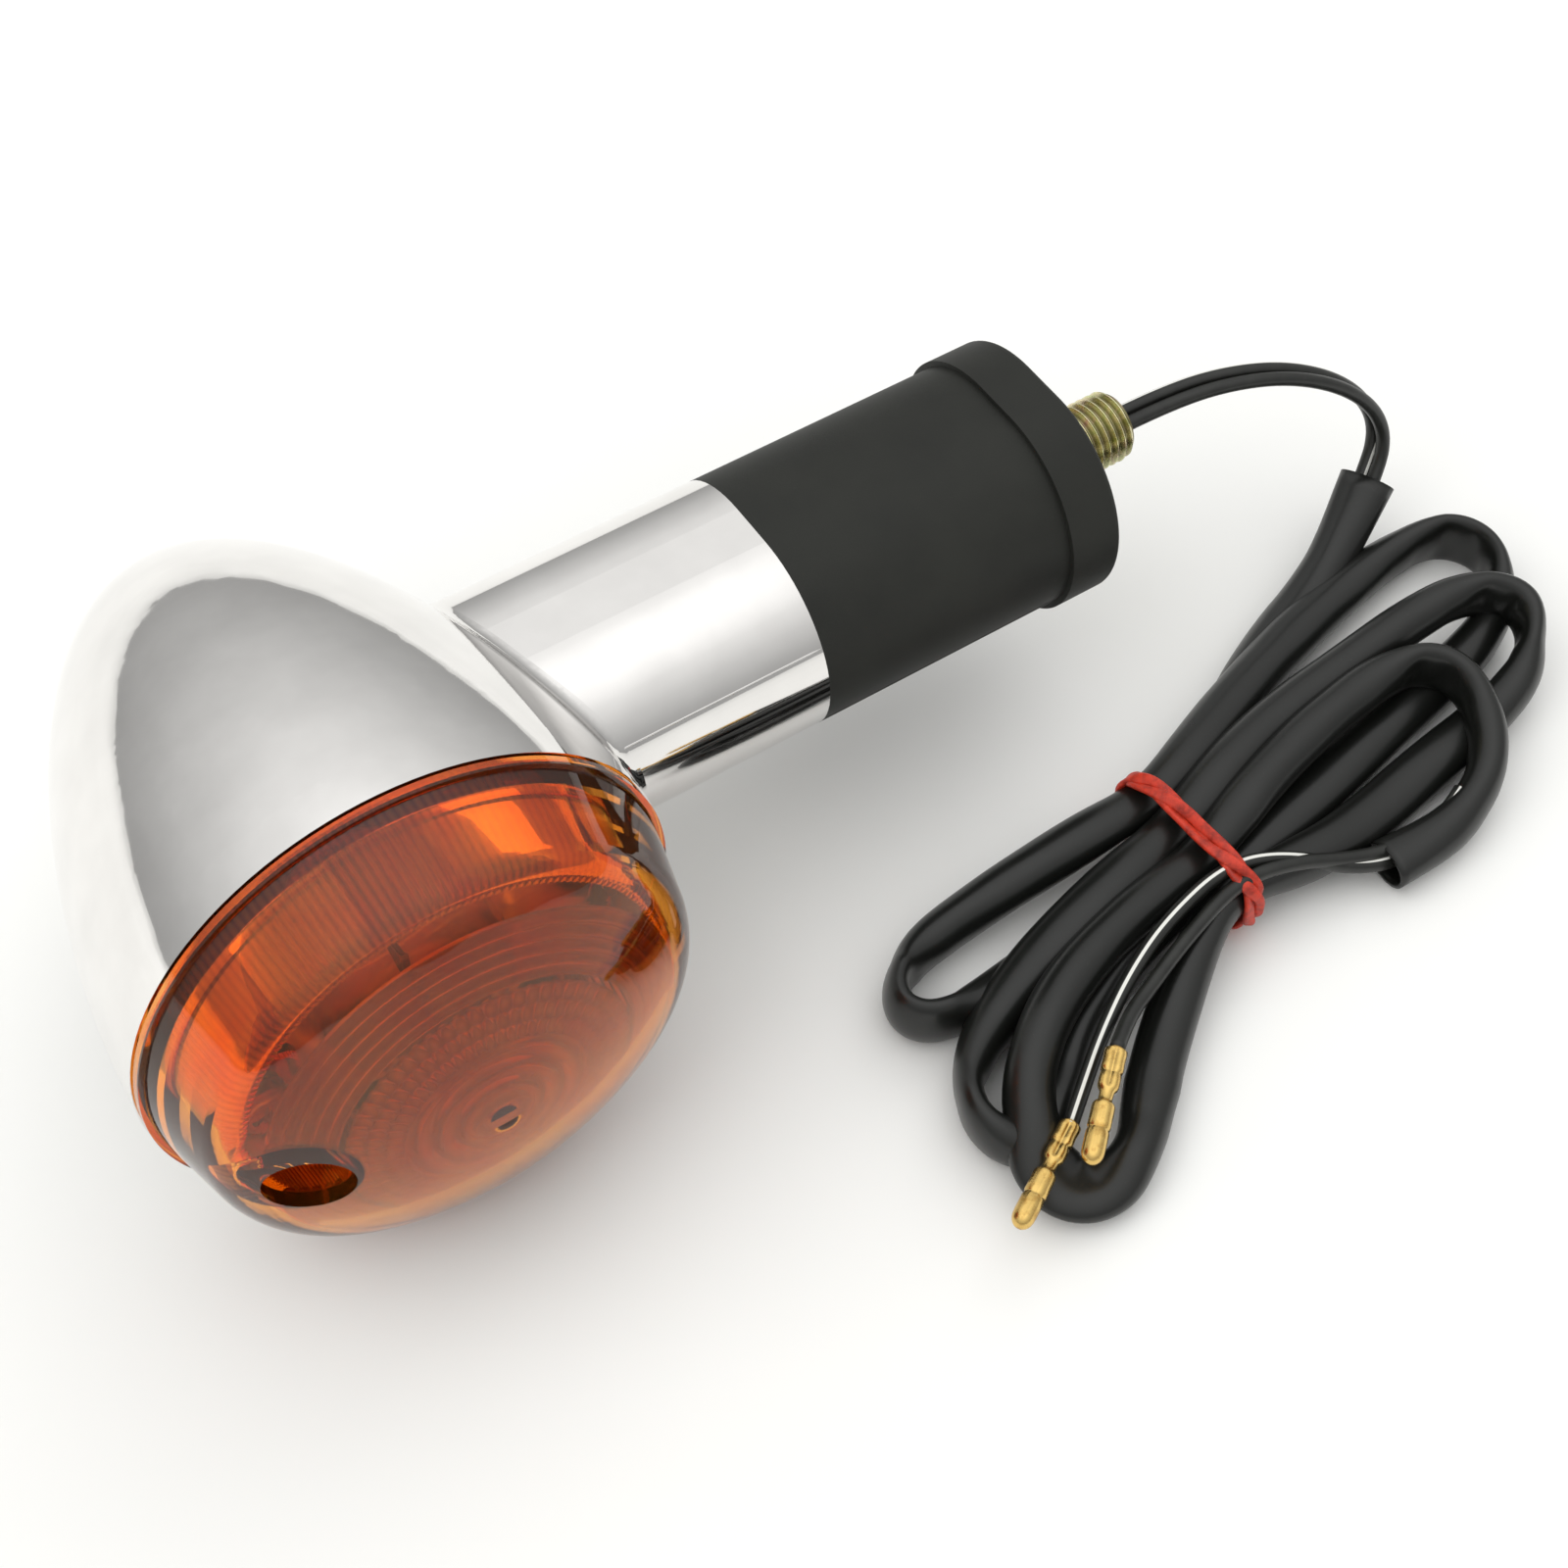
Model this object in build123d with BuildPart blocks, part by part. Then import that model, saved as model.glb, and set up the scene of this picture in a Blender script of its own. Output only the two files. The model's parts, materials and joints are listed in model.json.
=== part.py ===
"""Motorcycle turn signal lamp: chromed bullet housing with its stem, amber lens, bayonet bulb, stud and lead.

The lens faces -Y, the stem runs along +X and the lamp stands on its housing at z = 0. Every size is in millimetres.
Distances called "back" are measured along +Y from the seam between the lens and the housing.
"""

import os
from math import cos, pi, radians, sin, sqrt, tan

from build123d import *

os.makedirs("parts", exist_ok=True)

# ---------------------------------------------------------------- driving dimensions

# Housing
head_radius = 34.0          # housing at the seam
bullet_length = 69.0        # seam to the nose
housing_wall = 2.0
shoulder_pull = 0.41        # share of the length where the side begins to turn in
nose_pull = 0.56            # share of the radius where the nose begins to turn in
ledge_back = 5.5            # front face of the inner ledge that carries the reflector
ledge_thickness = 2.0
ledge_width = 5.0           # how far the ledge stands in from the rim's radius

# Stem and its spigot
stem_width = 36.0           # along the lens axis
stem_height = 29.5
stem_back = 25.0            # stem axis behind the seam
stem_reach = 63.0           # lens axis to the joint with the boot
stem_wall = 2.2
neck_radius = 2.5           # fillet between the stem and the bullet
spigot_step = 2.6           # how much smaller the spigot is on each side
spigot_length = 20.0

# Boot, plate and stud
boot_length = 44.7
flange_length = 7.7
flange_proud = 0.8
plate_thickness = 4.0
plate_margin = 4.0          # rubber left round the plate
stud_radius = 4.95          # M10 thread, over its crests
stud_bore_radius = 3.0
stud_reach = 13.3           # past the boot's end face
stud_shoulder_radius = 6.0  # where the stud is pressed into the plate
stud_head_radius = 8.0
stud_head_thickness = 3.0
stud_chamfer = 0.5
flange_rounding = 1.0
web_bore_radius = 9.0       # way for the stud head and the wires through the boot

# Lens
lens_depth = 23.4           # seam to the middle of the front
lens_wall = 2.2
lens_gap = 0.3              # between the lens lip and the rim
lip_proud_in = 0.2          # lip inside the housing's radius
lip_thickness = 1.3
side_root_radius = head_radius - 0.9  # side wall where it leaves the lip
side_tip_radius = head_radius - 4.0  # side wall where it would meet the front
dome_radius = 53.9
side_tip_depth = lens_depth - dome_radius + sqrt(dome_radius**2 - side_tip_radius**2)
corner_radius = 8.0
skirt_length = 2.75         # lens skirt inside the housing
skirt_thickness = 2.1
fit_gap = 0.3               # between parts that come apart

# Lens screw and its well
well_offset = head_radius - 12.0  # screw axis from the lens axis, away from the stem
well_radius = 4.8
well_wall = 1.5
well_floor_depth = 4.0      # well floor in front of the seam
well_floor = 2.0
screw_radius = 2.0
screw_running_gap = 0.06
screw_head_radius = 3.6
screw_head_height = 2.6
screw_length = 17.0         # under the head
screw_head_rounding = 1.1
screw_point_chamfer = 0.5
recess_length = 4.0         # cross recess in the lens screw
recess_width = 0.9
recess_depth = 1.4
seal_thickness = 1.2
seal_radius = 3.3
seal_gap = 0.1
post_radius = 4.0
post_front = 1.0            # post face behind the seam
post_length = 25.0
rib_thickness = 2.5

# Gasket, reflector and locating tab
gasket_thickness = 1.5
reflector_sheet = 1.0
bowl_radius = head_radius - 6.5
bowl_depth = 12.5
tab_width = 8.0
tab_inner = head_radius - 7.0
tab_outer = head_radius - 5.0
tab_back = 8.0

# Bulb, a 25 mm globe on a 15 mm bayonet base
globe_radius = 12.8
bowl_hole_radius = globe_radius + 0.5  # lets the globe through
glass_wall = 0.8
glass_neck_back = 21.0
base_front_back = 17.0
base_radius = 7.5
neck_inner_radius = base_radius - 0.5
globe_lead = 4.28           # end of the globe's curve in front of the base, and its blend
globe_back = base_front_back - globe_lead - sqrt(globe_radius**2 - neck_inner_radius**2)
base_length = 17.0
cap_insulator_length = 2.5
button_radius = 3.0
button_height = 1.5
pin_radius = 1.0
pin_tip = base_radius + 1.05  # pin's end from the bulb axis
pin_back = 27.0
bulb_turn_degrees = 18.0
filament_back = globe_back - 1.5
filament_length = 6.0
filament_radius = 0.5
support_radius = 0.35
support_bend = 2.0
stem_top_back = globe_back + 7.0  # glass stem that carries the supports
button_rounding = 0.9

# Socket, bracket, plunger and spring
socket_bore = base_radius + 0.2
socket_radius = socket_bore + 1.3
socket_front_back = 16.0
socket_end_back = 50.6
socket_floor = 1.2
socket_rim_radius = socket_radius + 1.2
plunger_travel = 2.0
contact_gap = 0.05
plunger_thickness = 2.5
plunger_clearance = 0.1
rivet_radius = 2.5
rivet_height = 0.9
spring_radius = 5.4
spring_wire = 0.8
spring_turns = 4.5
bracket_back = 23.0
bracket_thickness = 1.2
bracket_width = 16.0
bracket_screw_offset = 17.0
bracket_screw_radius = 1.5
bracket_screw_length = 8.0
bracket_head_radius = 2.8
bracket_head_height = 1.7
bracket_recess_length = 3.0
bracket_recess_width = 0.7
bracket_recess_depth = 0.9
washer_thickness = 0.6
washer_margin = 0.7         # washer past the screw head
bracket_ring = 3.0          # bracket round the socket
ground_tail_x = 7.0         # ground terminal's tail
ground_tail_width = 2.4
boss_radius = 3.5

# Wires and lead
wire_radius = 1.0
wire_offset = 1.1           # each wire's centre from the pair's centre
sleeve_radius = 3.25
grommet_flange_radius = 5.0
grommet_flange = 1.0
terminal_length = 16.0
terminal_radius = 1.45
crimp_radius = 1.3
terminal_neck_radius = 0.9
hank_height = 6.0
hank_waist_height = 11.5
hank_waist_rounding = 2.0
band_width = 3.6
band_thickness = 1.4
band_inner_width = 22.5
band_floor = 1.4            # window's floor above the surface
band_corner = 4.5

# ---------------------------------------------------------------- places worked out from the sizes

boot_end = stem_reach + boot_length
stud_tip = boot_end + stud_reach
axis_x = (head_radius - stud_tip) / 2
seam_y = (lens_depth - bullet_length) / 2
axis_z = head_radius
stem_y = seam_y + stem_back
rebate_radius = head_radius - housing_wall
lamp_axis = Axis((axis_x, seam_y, axis_z), (0, 1, 0))
lamp_section = Plane(origin=(axis_x, seam_y, axis_z))


def across(back):
    """Plane square to the lens axis; an extrusion from it goes forward, and its axes are X and Z."""
    return Plane(origin=(axis_x, seam_y + back, axis_z), x_dir=(1, 0, 0), z_dir=(0, -1, 0))


def along_stem(reach):
    """Plane square to the stem axis; an extrusion from it goes outward, and its axes are Y and Z."""
    return Plane(origin=(axis_x + reach, stem_y, axis_z), x_dir=(0, 1, 0), z_dir=(1, 0, 0))


def dome_back(radius, apex_depth, sphere_radius):
    """Place along the lens axis of a dome's surface at a radius."""
    return -apex_depth + sphere_radius - sqrt(sphere_radius**2 - radius**2)


def bend_radii(points):
    """Largest arcs that a route's runs allow, one for each corner."""
    radii = []
    for before, corner, after in zip(points, points[1:], points[2:]):
        first = Vector(*corner) - Vector(*before)
        second = Vector(*after) - Vector(*corner)
        turn = radians(first.get_angle(second))
        radii.append(0.45 * min(first.length, second.length) / tan(turn / 2))
    return radii


def report_route(name, points, diameter, solid):
    """Prints a route's length, its radii and its volume against section times length."""
    radii = bend_radii(points)
    with BuildLine(mode=Mode.PRIVATE) as path:
        FilletPolyline(*points, radius=radii)
    length = path.wires()[0].length
    section = pi * diameter**2 / 4
    print(f"{name}: length {length:.1f}, radii {[round(r, 1) for r in radii]}, "
          f"volume {solid.volume:.1f} of {section * length:.1f}")


# ---------------------------------------------------------------- housing

with BuildPart() as bullet_outer:
    with BuildSketch(lamp_section):
        with BuildLine():
            Bezier(
                (head_radius, 0),
                (head_radius, shoulder_pull * bullet_length),
                (nose_pull * head_radius, bullet_length),
                (0, bullet_length),
            )
            Polyline((0, bullet_length), (0, 0), (head_radius, 0))
        make_face()
    revolve(axis=lamp_axis)

with BuildPart() as inner_fittings:
    with BuildSketch(across(bracket_back + bracket_thickness)):
        with Locations((0, bracket_screw_offset), (0, -bracket_screw_offset)):
            Circle(boss_radius)
    extrude(amount=-bullet_length)
    with BuildSketch(across(post_front)):
        with Locations((-well_offset, 0)):
            Circle(post_radius)
    extrude(amount=-post_length)
    with BuildSketch(across(ledge_back)):
        with Locations((-well_offset - head_radius / 2, 0)):
            Rectangle(head_radius, rib_thickness)
    extrude(amount=-(post_length + post_front - ledge_back))
    with BuildSketch(across(ledge_back)):
        Circle(head_radius)
        Circle(head_radius - ledge_width, mode=Mode.SUBTRACT)
    extrude(amount=-ledge_thickness)
    add(bullet_outer.part, mode=Mode.INTERSECT)

with BuildPart() as housing:
    add(bullet_outer.part)
    with BuildSketch(along_stem(0)):
        SlotOverall(stem_width, stem_height)
    extrude(amount=stem_reach)
    neck_edges = housing.edges(Select.NEW).filter_by(GeomType.BSPLINE)
    fillet(neck_edges, radius=neck_radius)
    with BuildSketch(along_stem(stem_reach)):
        SlotOverall(stem_width - 2 * spigot_step, stem_height - 2 * spigot_step)
    extrude(amount=spigot_length)
    with BuildSketch(lamp_section):
        with BuildLine():
            Bezier(
                (head_radius - housing_wall, 0),
                (head_radius - housing_wall, shoulder_pull * bullet_length),
                (nose_pull * head_radius - housing_wall / 2, bullet_length - housing_wall),
                (0, bullet_length - housing_wall),
            )
            Polyline((0, bullet_length - housing_wall), (0, 0), (head_radius - housing_wall, 0))
        make_face()
    revolve(axis=lamp_axis, mode=Mode.SUBTRACT)
    with BuildSketch(along_stem(head_radius / 2)):
        SlotOverall(
            stem_width - 2 * (spigot_step + stem_wall),
            stem_height - 2 * (spigot_step + stem_wall),
        )
    extrude(amount=stem_reach + spigot_length, mode=Mode.SUBTRACT)
    with BuildSketch(across(ledge_back)):
        Circle(rebate_radius)
    extrude(amount=ledge_back, mode=Mode.SUBTRACT)
    add(inner_fittings.part)
    with BuildSketch(across(bracket_back + bracket_thickness)):
        with Locations((0, bracket_screw_offset), (0, -bracket_screw_offset)):
            Circle(bracket_screw_radius)
    extrude(amount=-(bracket_screw_length - bracket_thickness - washer_thickness), mode=Mode.SUBTRACT)
    with BuildSketch(across(post_front)):
        with Locations((-well_offset, 0)):
            Circle(screw_radius + screw_running_gap)
    extrude(amount=-(screw_length - well_floor_depth), mode=Mode.SUBTRACT)
    with BuildSketch(across(0)):
        with Locations(((tab_inner + tab_outer) / 2, 0)):
            Rectangle(tab_outer - tab_inner + 2 * fit_gap, tab_width + 2 * fit_gap)
    extrude(amount=-(ledge_back + ledge_thickness), mode=Mode.SUBTRACT)

# ---------------------------------------------------------------- lens, its screw and seal

skirt_outer = rebate_radius - fit_gap
skirt_inner = skirt_outer - skirt_thickness
corner_back = dome_back(side_tip_radius, lens_depth, dome_radius)
inner_side_tip = side_tip_radius - lens_wall
inner_corner_back = dome_back(inner_side_tip, lens_depth - lens_wall, dome_radius - lens_wall)


def dome_arc(edge_radius, apex_depth, sphere_radius):
    """Arc of a dome from its edge to the lens axis."""
    middle = edge_radius / 2
    return ThreePointArc(
        (edge_radius, dome_back(edge_radius, apex_depth, sphere_radius)),
        (middle, dome_back(middle, apex_depth, sphere_radius)),
        (0, -apex_depth),
    )


with BuildPart() as lens_outer:
    with BuildSketch(lamp_section) as lens_profile:
        with BuildLine():
            Polyline(
                (0, -lens_depth),
                (0, skirt_length),
                (skirt_outer, skirt_length),
                (skirt_outer, -lens_gap),
                (head_radius - lip_proud_in, -lens_gap),
                (head_radius - lip_proud_in, -lens_gap - lip_thickness),
                (side_root_radius, -lens_gap - lip_thickness),
                (side_tip_radius, corner_back),
            )
            dome_arc(side_tip_radius, lens_depth, dome_radius)
        make_face()
        outer_corner = lens_profile.vertices().sort_by_distance((side_tip_radius, corner_back, 0))
        fillet(outer_corner[0], radius=corner_radius)
    revolve(axis=lamp_axis)

with BuildPart() as well_boss:
    with BuildSketch(across(-(well_floor_depth - well_floor))):
        with Locations((-well_offset, 0)):
            Circle(well_radius + well_wall)
    extrude(amount=lens_depth)
    add(lens_outer.part, mode=Mode.INTERSECT)

with BuildPart() as lens:
    add(lens_outer.part)
    with BuildSketch(lamp_section) as cavity_profile:
        with BuildLine():
            Polyline(
                (0, -(lens_depth - lens_wall)),
                (0, skirt_length),
                (skirt_inner, skirt_length),
                (skirt_inner, -lens_gap - lip_thickness),
                (inner_side_tip, inner_corner_back),
            )
            dome_arc(inner_side_tip, lens_depth - lens_wall, dome_radius - lens_wall)
        make_face()
        inner_corner = cavity_profile.vertices().sort_by_distance((inner_side_tip, inner_corner_back, 0))
        fillet(inner_corner[0], radius=corner_radius - lens_wall)
    revolve(axis=lamp_axis, mode=Mode.SUBTRACT)
    add(well_boss.part)
    with BuildSketch(across(-well_floor_depth)):
        with Locations((-well_offset, 0)):
            Circle(well_radius)
    extrude(amount=lens_depth, mode=Mode.SUBTRACT)
    with BuildSketch(across(0)):
        with Locations((-well_offset, 0)):
            Circle(screw_radius + fit_gap)
    extrude(amount=lens_depth, mode=Mode.SUBTRACT)
    with BuildSketch(across(tab_back)):
        with Locations(((tab_inner + tab_outer) / 2, 0)):
            Rectangle(tab_outer - tab_inner, tab_width)
    extrude(amount=tab_back - skirt_length)
    with BuildSketch(across(skirt_length)):
        with Locations(((tab_inner + skirt_inner + skirt_thickness / 2) / 2, 0)):
            Rectangle(skirt_inner + skirt_thickness / 2 - tab_inner, tab_width)
    extrude(amount=skirt_length)

seal_back = -(well_floor_depth + seal_gap)
with BuildPart() as screw_seal:
    with BuildSketch(across(seal_back)):
        with Locations((-well_offset, 0)):
            Circle(seal_radius)
            Circle(screw_radius, mode=Mode.SUBTRACT)
    extrude(amount=seal_thickness)

head_back = seal_back - seal_thickness
with BuildPart() as lens_screw:
    with BuildSketch(across(head_back)):
        with Locations((-well_offset, 0)):
            Circle(screw_head_radius)
    extrude(amount=screw_head_height)
    fillet(lens_screw.edges().sort_by(Axis.Y)[0], radius=screw_head_rounding)
    with BuildSketch(across(head_back)):
        with Locations((-well_offset, 0)):
            Circle(screw_radius)
    extrude(amount=-(screw_length - seal_thickness - seal_gap))
    chamfer(lens_screw.edges().sort_by(Axis.Y)[-1], length=screw_point_chamfer)
    with BuildSketch(across(head_back - screw_head_height)):
        with Locations((-well_offset, 0)):
            Rectangle(recess_length, recess_width)
            Rectangle(recess_width, recess_length)
    extrude(amount=-recess_depth, mode=Mode.SUBTRACT)

# ---------------------------------------------------------------- gasket and reflector

gasket_back = ledge_back - reflector_sheet
with BuildPart() as lens_gasket:
    with BuildSketch(across(gasket_back)):
        Circle(rebate_radius)
        Circle(tab_outer + 3 * fit_gap, mode=Mode.SUBTRACT)
    extrude(amount=gasket_thickness)

bowl_end_back = ledge_back - reflector_sheet + bowl_depth
with BuildPart() as reflector:
    with BuildSketch(lamp_section):
        with BuildLine():
            Polyline(
                (rebate_radius, ledge_back),
                (rebate_radius, ledge_back - reflector_sheet),
                (bowl_radius, ledge_back - reflector_sheet),
            )
            Bezier(
                (bowl_radius, ledge_back - reflector_sheet),
                (0.86 * bowl_radius, bowl_end_back - 4.5),
                (0.72 * bowl_radius, bowl_end_back),
                (bowl_hole_radius, bowl_end_back),
            )
            Line((bowl_hole_radius, bowl_end_back), (bowl_hole_radius, bowl_end_back + reflector_sheet))
            Bezier(
                (bowl_hole_radius, bowl_end_back + reflector_sheet),
                (0.72 * bowl_radius, bowl_end_back + reflector_sheet),
                (0.86 * bowl_radius + reflector_sheet, bowl_end_back - 3.5),
                (bowl_radius + reflector_sheet, ledge_back),
            )
            Line((bowl_radius + reflector_sheet, ledge_back), (rebate_radius, ledge_back))
        make_face()
    revolve(axis=lamp_axis)
    with BuildSketch(across(0)):
        with Locations((-well_offset, 0)):
            Circle(post_radius + fit_gap)
        with Locations((-well_offset - post_radius - 1, 0)):
            Rectangle(2 * post_radius, rib_thickness + 2 * fit_gap)
        with Locations(((tab_inner + tab_outer) / 2, 0)):
            Rectangle(tab_outer - tab_inner + 2 * fit_gap, tab_width + 2 * fit_gap)
    extrude(amount=-bullet_length / 2, mode=Mode.SUBTRACT)

# ---------------------------------------------------------------- socket, bracket, plunger and spring

with BuildPart() as bulb_socket:
    with BuildSketch(across(socket_end_back)):
        Circle(socket_radius)
    extrude(amount=socket_end_back - socket_front_back)
    with BuildSketch(across(socket_front_back + 1)):
        Circle(socket_rim_radius)
    extrude(amount=1)
    with BuildSketch(across(socket_end_back - socket_floor)):
        Circle(socket_bore)
    extrude(amount=socket_end_back, mode=Mode.SUBTRACT)
    with BuildSketch(across(socket_end_back)):
        Circle(wire_radius)
    extrude(amount=socket_floor, mode=Mode.SUBTRACT)
    pin_gap = pin_radius + fit_gap
    pin_swing = pin_tip * sin(radians(bulb_turn_degrees))
    for side in (1, -1):
        slot_middle = side * (socket_radius + socket_bore) / 2
        with BuildSketch(across(pin_back + plunger_travel + pin_gap)):
            with Locations((slot_middle, side * pin_swing / 2)):
                Rectangle(2 * (socket_radius - socket_bore), pin_swing + 2 * pin_gap)
        extrude(amount=plunger_travel + 2 * pin_gap, mode=Mode.SUBTRACT)
        with BuildSketch(across(pin_back)):
            with Locations((slot_middle, side * pin_swing)):
                Rectangle(2 * (socket_rim_radius - socket_bore), 2 * pin_gap)
        extrude(amount=pin_back, mode=Mode.SUBTRACT)

with BuildPart() as socket_bracket:
    with BuildSketch(across(bracket_back + bracket_thickness)):
        SlotOverall(2 * bracket_screw_offset + bracket_width / 2, bracket_width, rotation=90)
        Circle(socket_radius + bracket_ring)
        Circle(socket_radius, mode=Mode.SUBTRACT)
        with Locations((0, bracket_screw_offset), (0, -bracket_screw_offset)):
            Circle(bracket_screw_radius, mode=Mode.SUBTRACT)
    extrude(amount=bracket_thickness)

with BuildPart() as bracket_screws:
    for height in (bracket_screw_offset, -bracket_screw_offset):
        with BuildSketch(across(bracket_back - washer_thickness)):
            with Locations((0, height)):
                Circle(bracket_head_radius)
        extrude(amount=bracket_head_height)
        with BuildSketch(across(bracket_back - washer_thickness)):
            with Locations((0, height)):
                Circle(bracket_screw_radius)
        extrude(amount=-bracket_screw_length)
        with BuildSketch(across(bracket_back - washer_thickness - bracket_head_height)):
            with Locations((0, height)):
                Rectangle(bracket_recess_length, bracket_recess_width)
                Rectangle(bracket_recess_width, bracket_recess_length)
        extrude(amount=-bracket_recess_depth, mode=Mode.SUBTRACT)

with BuildPart() as bracket_washer:
    with BuildSketch(across(bracket_back)):
        with Locations((0, bracket_screw_offset)):
            Circle(bracket_head_radius + washer_margin)
            Circle(bracket_screw_radius, mode=Mode.SUBTRACT)
    extrude(amount=washer_thickness)

with BuildPart() as ground_terminal:
    with BuildSketch(across(bracket_back)):
        with Locations((0, -bracket_screw_offset)):
            Circle(bracket_head_radius + washer_margin)
        with Locations((ground_tail_x / 2 + 1, -bracket_screw_offset)):
            Rectangle(ground_tail_x + 2, ground_tail_width)
        with Locations((0, -bracket_screw_offset)):
            Circle(bracket_screw_radius, mode=Mode.SUBTRACT)
    extrude(amount=washer_thickness)

button_end_back = base_front_back + base_length + cap_insulator_length + button_height
rivet_front_back = button_end_back + contact_gap
plunger_front_back = rivet_front_back + rivet_height
with BuildPart() as contact_plunger:
    with BuildSketch(across(plunger_front_back + plunger_thickness)):
        Circle(socket_bore - plunger_clearance)
        Circle(rivet_radius / 2, mode=Mode.SUBTRACT)
    extrude(amount=plunger_thickness)

with BuildPart() as plunger_contact:
    with BuildSketch(across(plunger_front_back)):
        Circle(rivet_radius)
    extrude(amount=rivet_height)
    with BuildSketch(across(plunger_front_back + plunger_thickness)):
        Circle(rivet_radius / 2)
    extrude(amount=plunger_thickness)

spring_front_back = plunger_front_back + plunger_thickness
spring_space = socket_end_back - socket_floor - spring_front_back
spring_pitch = (spring_space - spring_wire) / spring_turns
with BuildPart() as contact_spring:
    with BuildLine() as coil:
        Helix(
            pitch=spring_pitch,
            height=spring_pitch * spring_turns,
            radius=spring_radius,
            center=(axis_x, seam_y + socket_end_back - socket_floor - spring_wire / 2, axis_z),
            direction=(0, -1, 0),
        )
    with BuildSketch(Plane(origin=coil.line @ 0, z_dir=coil.line % 0)):
        Circle(spring_wire / 2)
    sweep(path=coil.line, is_frenet=True)

# ---------------------------------------------------------------- bulb

neck_start_back = globe_back + sqrt(globe_radius**2 - neck_inner_radius**2) + 2.5


def bulb_outline(radius, neck, end):
    """Globe with a drawn-in neck, from the front of the glass to the neck's end."""
    front = (0, globe_back - radius)
    side = (radius * cos(radians(30)), globe_back + radius * sin(radians(30)))
    ThreePointArc(front, (radius * cos(radians(30)), globe_back - radius * sin(radians(30))), side)
    Bezier(side, (side[0] - 2.2, side[1] + 3.8), (neck, neck_start_back - 4.0), (neck, neck_start_back))
    Line((neck, neck_start_back), (neck, end))


with BuildPart() as bulb_glass:
    with BuildSketch(lamp_section):
        with BuildLine():
            bulb_outline(globe_radius, neck_inner_radius, glass_neck_back)
            Polyline((neck_inner_radius, glass_neck_back), (0, glass_neck_back), (0, globe_back - globe_radius))
        make_face()
    revolve(axis=lamp_axis)
    with BuildSketch(lamp_section):
        with BuildLine():
            inner_neck = neck_inner_radius - glass_wall
            bulb_outline(globe_radius - glass_wall, inner_neck, glass_neck_back)
            Polyline(
                (inner_neck, glass_neck_back),
                (0, glass_neck_back),
                (0, globe_back - globe_radius + glass_wall),
            )
        make_face()
    revolve(axis=lamp_axis, mode=Mode.SUBTRACT)

stem_foot_radius = neck_inner_radius - glass_wall
with BuildPart() as bulb_stem:
    with BuildSketch(lamp_section):
        with BuildLine():
            Polyline(
                (0, stem_top_back),
                (1.6, stem_top_back),
                (2.0, glass_neck_back - 3.5),
                (stem_foot_radius, glass_neck_back - 1.0),
                (stem_foot_radius, glass_neck_back),
                (0, glass_neck_back),
                (0, stem_top_back),
            )
        make_face()
    revolve(axis=lamp_axis)

with BuildPart() as bulb_filament:
    for side in (-1, 1):
        foot = (axis_x, seam_y + stem_top_back, axis_z + side * 0.8)
        knee = (axis_x, seam_y + (stem_top_back + filament_back) / 2, axis_z + side * 1.6)
        hook = (axis_x, seam_y + filament_back, axis_z + side * filament_length / 2)
        with BuildLine() as support:
            FilletPolyline(foot, knee, hook, radius=support_bend)
        with BuildSketch(Plane(origin=support.line @ 0, z_dir=support.line % 0)):
            Circle(support_radius)
        sweep(path=support.line)
    with BuildSketch(Plane(origin=(axis_x, seam_y + filament_back, axis_z - filament_length / 2))):
        Circle(filament_radius)
    extrude(amount=filament_length)

base_end_back = base_front_back + base_length
with BuildPart() as bulb_base:
    with BuildSketch(across(base_end_back)):
        Circle(base_radius)
        Circle(neck_inner_radius, mode=Mode.SUBTRACT)
    extrude(amount=base_length)
    with BuildSketch(Plane.YZ.offset(axis_x)):
        with Locations((seam_y + pin_back, axis_z)):
            Circle(pin_radius)
    extrude(amount=base_radius + 1, both=True, mode=Mode.SUBTRACT)

with BuildPart() as bulb_pins:
    with BuildSketch(Plane.YZ.offset(axis_x)):
        with Locations((seam_y + pin_back, axis_z)):
            Circle(pin_radius)
    extrude(amount=pin_tip, both=True)
    with BuildSketch(across(pin_back + 2 * pin_radius)):
        Circle(neck_inner_radius - 0.6)
    extrude(amount=4 * pin_radius, mode=Mode.SUBTRACT)
    fillet(bulb_pins.edges().group_by(Axis.X)[-1] + bulb_pins.edges().group_by(Axis.X)[0], radius=0.3)

cap_end_back = base_end_back + cap_insulator_length
with BuildPart() as bulb_insulator:
    with BuildSketch(lamp_section):
        with BuildLine():
            Polyline(
                (0, base_end_back - 3),
                (neck_inner_radius, base_end_back - 3),
                (neck_inner_radius, base_end_back),
                (button_radius + 1, cap_end_back),
                (0, cap_end_back),
                (0, base_end_back - 3),
            )
        make_face()
    revolve(axis=lamp_axis)

with BuildPart() as bulb_button:
    with BuildSketch(across(button_end_back)):
        Circle(button_radius)
    extrude(amount=button_height)
    fillet(bulb_button.edges().group_by(Axis.Y)[-1], radius=button_rounding)

# ---------------------------------------------------------------- boot, plate, stud and grommet

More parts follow.
